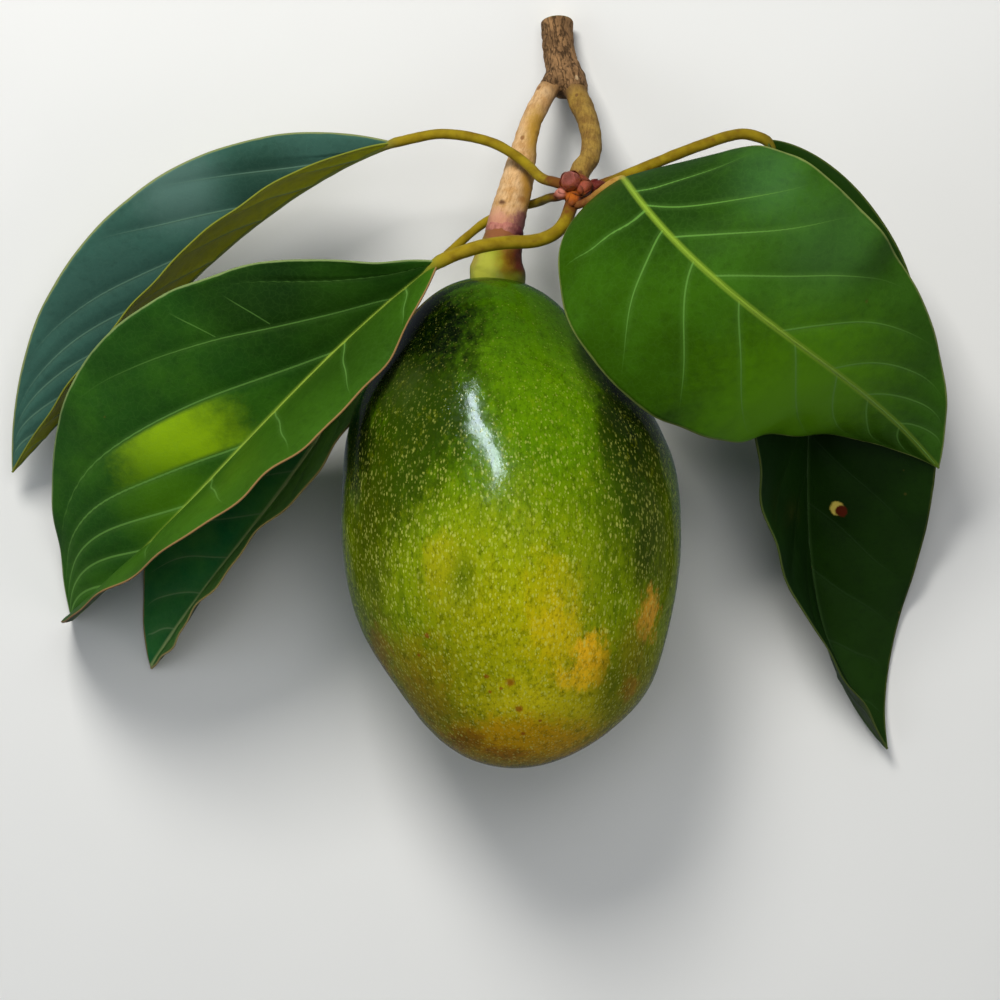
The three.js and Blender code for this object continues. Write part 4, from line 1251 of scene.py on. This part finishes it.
def fork_line(blade, leaf, start, end):
    """A thin vein between two places on the blade, given as across and along, fading out at its end."""
    a, b = (np.array([u * half_width(leaf, t), t * leaf["length"], 0]) for u, t in (start, end))
    length = float(np.linalg.norm(b - a))
    x, y, _ = (b - a) / length
    across = blade.times(blade.value_of("rib"), blade.math("SIGN", blade.value_of("across")))
    along = blade.times(blade.value_of("along"), leaf["length"])
    away = blade.vector("SUBTRACT", blade.add("CombineXYZ", across, along).outputs[0], tuple(a))
    run = blade.vector("DOT_PRODUCT", away, (x, y, 0))
    off = blade.vector("DOT_PRODUCT", away, (-y, x, 0))
    off = blade.plus(off, blade.times(blade.smooth(run, 0, length, -1, 1), 0.4))
    line = blade.smooth(blade.math("ABSOLUTE", off), 0.2, 0.06)
    line = blade.times(line, blade.smooth(run, -0.3, 0.0))
    return blade.times(line, blade.smooth(run, length, 0.5 * length, 0.0, 0.7))


def side_veins(blade, leaf, out, place, gap):
    """1 on a side vein or a fork, and the distance to the nearest side vein."""
    whole = blade.math("ABSOLUTE", blade.minus(place, blade.math("ROUND", place)))
    distance = blade.times(whole, gap)
    half = blade.smooth(out, 0.0, 1.0, *leaf["vein_half"])
    line = blade.smooth(blade.minus(distance, half), 0.1, -0.08)
    line = blade.times(line, blade.smooth(out, 0.98, 0.5))
    for start, end in leaf["forks"]:
        line = blade.math("MAXIMUM", line, fork_line(blade, leaf, start, end))
    return line, distance


def leaf_material(leaf):
    blade = Surface(leaf["name"] + "_skin", Specular_IOR_Level=leaf["gloss"])
    names = ("across", "side", "vein", "vein_gap", "edge", "rib")
    across, side, place, gap, edge, rib = (blade.value_of(name) for name in names)
    out = blade.math("ABSOLUTE", across)
    midrib = midrib_of(leaf)

    left, right = leaf["blades"]
    halves = blade.mix(blade.smooth(across, -0.12, 0.12), right, left)
    lighter = blade.mix(0.5, halves, shade(left, 1.35))
    blade.base = blade.mix(blade.smooth(blade.noise(20, 4), 0.4, 0.66, 0, 0.6), halves, lighter)
    mottle = blade.noise(2.0, 5, roughness=0.65)
    blade.cover(shade(right, 0.72), blade.smooth(mottle, 0.45, 0.8, 0, 0.4))
    for tint, at, radius, strength, *bands in leaf["tints"]:
        mask = blade.patch(blade_point(leaf, midrib, *np.array(at)), radius, 0.7, 0.35, 3.0)
        for first, last in bands:
            mask = blade.times(mask, blade.smooth(place, first, first + 0.12))
            mask = blade.times(mask, blade.smooth(place, last, last - 0.1))
            mask = blade.times(mask, blade.math("GREATER_THAN", blade.times(across, at[0]), 0.0))
        blade.cover(tint, mask, strength)
    net, _ = blade.cells(1.6, blade.shaken(2.2, 1.6), "DISTANCE_TO_EDGE")
    net = blade.smooth(net, 0.1, 0.0)
    blade.cover(leaf["vein"], net, 0.05)

    left, right = leaf["unders"]
    under = blade.mix(blade.smooth(across, -0.06, 0.06), right, left)
    under = blade.mix(blade.smooth(mottle, 0.3, 0.8, 0, 0.35), under, shade(right, 0.85))
    blade.cover(under, blade.smooth(side, 0.2, -0.2))

    line, distance = side_veins(blade, leaf, out, place, gap)
    blade.cover(leaf["vein"], blade.smooth(distance, 1.4, 0.2, 0, 0.14), blade.smooth(out, 0.9, 0.5))
    blade.cover(leaf["vein"], line, 0.8)
    blade.cover(leaf["rib"], blade.smooth(rib, 1.0, 0.4, 0, 0.6))
    left, right = leaf["margins"]
    rim = blade.mix(blade.math("GREATER_THAN", across, 0.0), right, left)
    rough_edge = blade.plus(edge, blade.times(blade.noise(3, 3), 0.5))
    blade.cover(rim, blade.smooth(rough_edge, 0.8, 0.45, 0, 0.85))
    blade.cover((92, 80, 30), blade.dots(7.0, 0.72, 0.06, 0.02), 0.35)
    for tint, at, radius in leaf["marks"]:
        blade.cover(tint, blade.patch(blade_point(leaf, midrib, *np.array(at)), radius, 0.2, 0.3, 1.5))
    height = blade.plus(blade.times(line, 0.5), blade.times(net, 0.1))
    height = blade.plus(height, blade.times(blade.noise(0.9, 3), 0.4))
    shine = blade.smooth(blade.noise(5, 3), 0.3, 0.8, 0.34, 0.5)
    return blade.finish(height, 0.12, 0.6, Roughness=shine)


def rib_material(leaf):
    """The petiole's olive skin, which pales and greens into the midrib."""
    rib = Surface(leaf["name"] + "_rib", roughness=0.55, Specular_IOR_Level=0.3)
    share = rib.value_of("rib_share")
    rib.base = rib.mix(rib.smooth(rib.noise(4, 3), 0.35, 0.7), *leaf["stem"])
    rib.cover(leaf["rib"], rib.smooth(share, -0.02, 0.06))
    rib.cover(leaf["vein"], rib.smooth(share, 0.3, 1.0, 0, 0.75))
    rib.cover((112, 66, 20), rib.smooth(rib.noise(2.0, 4), 0.6, 0.78, 0, 0.5))
    rib.cover((98, 46, 24), rib.patch(BUD_HEART, 8.0, 0.3, 0.4, 1.5), 0.85)
    return rib.finish(rib.noise(0.6, 3, rib.stretched(0.4, 0.4, 0.4)), 0.08, 0.6)


def add_rib(leaf):
    """One tapering tube: the petiole from the buds, then the midrib under and through the blade."""
    midrib = midrib_of(leaf)
    stem = curve_points([BUD_HEART, *leaf["petiole"]])
    stem_length = run_along(stem)[-1]
    stem = evenly(stem, int(stem_length / RIB_STEP))[:-1]
    t = np.linspace(0, RIB_END, int(leaf["length"] / RIB_STEP))
    radius = RIB_TIP_RADIUS + (leaf["rib_radius"] - RIB_TIP_RADIUS) * (1 - t) ** RIB_TAPER
    radius = radius + (leaf["petiole_radius"] - radius[0]) * np.exp(-t / STEM_FLARE)
    sink = (LEAF_THICKNESS / 2 + RIB_PROUD - radius) * smooth(t, 0, 0.05)
    across = 0 * t
    under = blade_point(leaf, midrib, across, t) + blade_normal(leaf, midrib, across, t) * sink[:, None]
    line = np.vstack([stem, under])
    for _ in range(4):
        line[1:-1] = (line[:-2] + 2 * line[1:-1] + line[2:]) / 4
    run = np.linspace(0, stem_length, len(stem))
    swell = 1 + STEM_SWELL["share"] * np.exp(-run / STEM_SWELL["length"])
    radii = np.concatenate([leaf["petiole_radius"] * swell, radius])
    before = np.linspace(-stem_length, 0, len(stem), endpoint=False) / leaf["length"]
    share = np.concatenate([before, t])
    points, faces = tube(line, radii, RIB_SIDES, bark_relief(0.03, leaf["seed"]), cap_rings=4)
    spare = ((len(points) - 2) // RIB_SIDES - len(line)) // 2
    rings = np.pad(share, spare, mode="edge")
    values = dict(rib_share=np.concatenate([np.repeat(rings, RIB_SIDES), share[[0, -1]]]))
    piece = add_mesh(leaf["name"] + "_rib", points, faces, rib_material(leaf), values)
    dress(piece, leaf["slot"], leaf["name"])


# ---- The scene ----

add_camera()
add_lights()
add_floor()
add_streak(add_fruit())
add_twig()
add_stems()
add_buds()
for row in LEAVES:
    each = {**PLAIN_LEAF, **row}
    add_blade(each)
    add_rib(each)
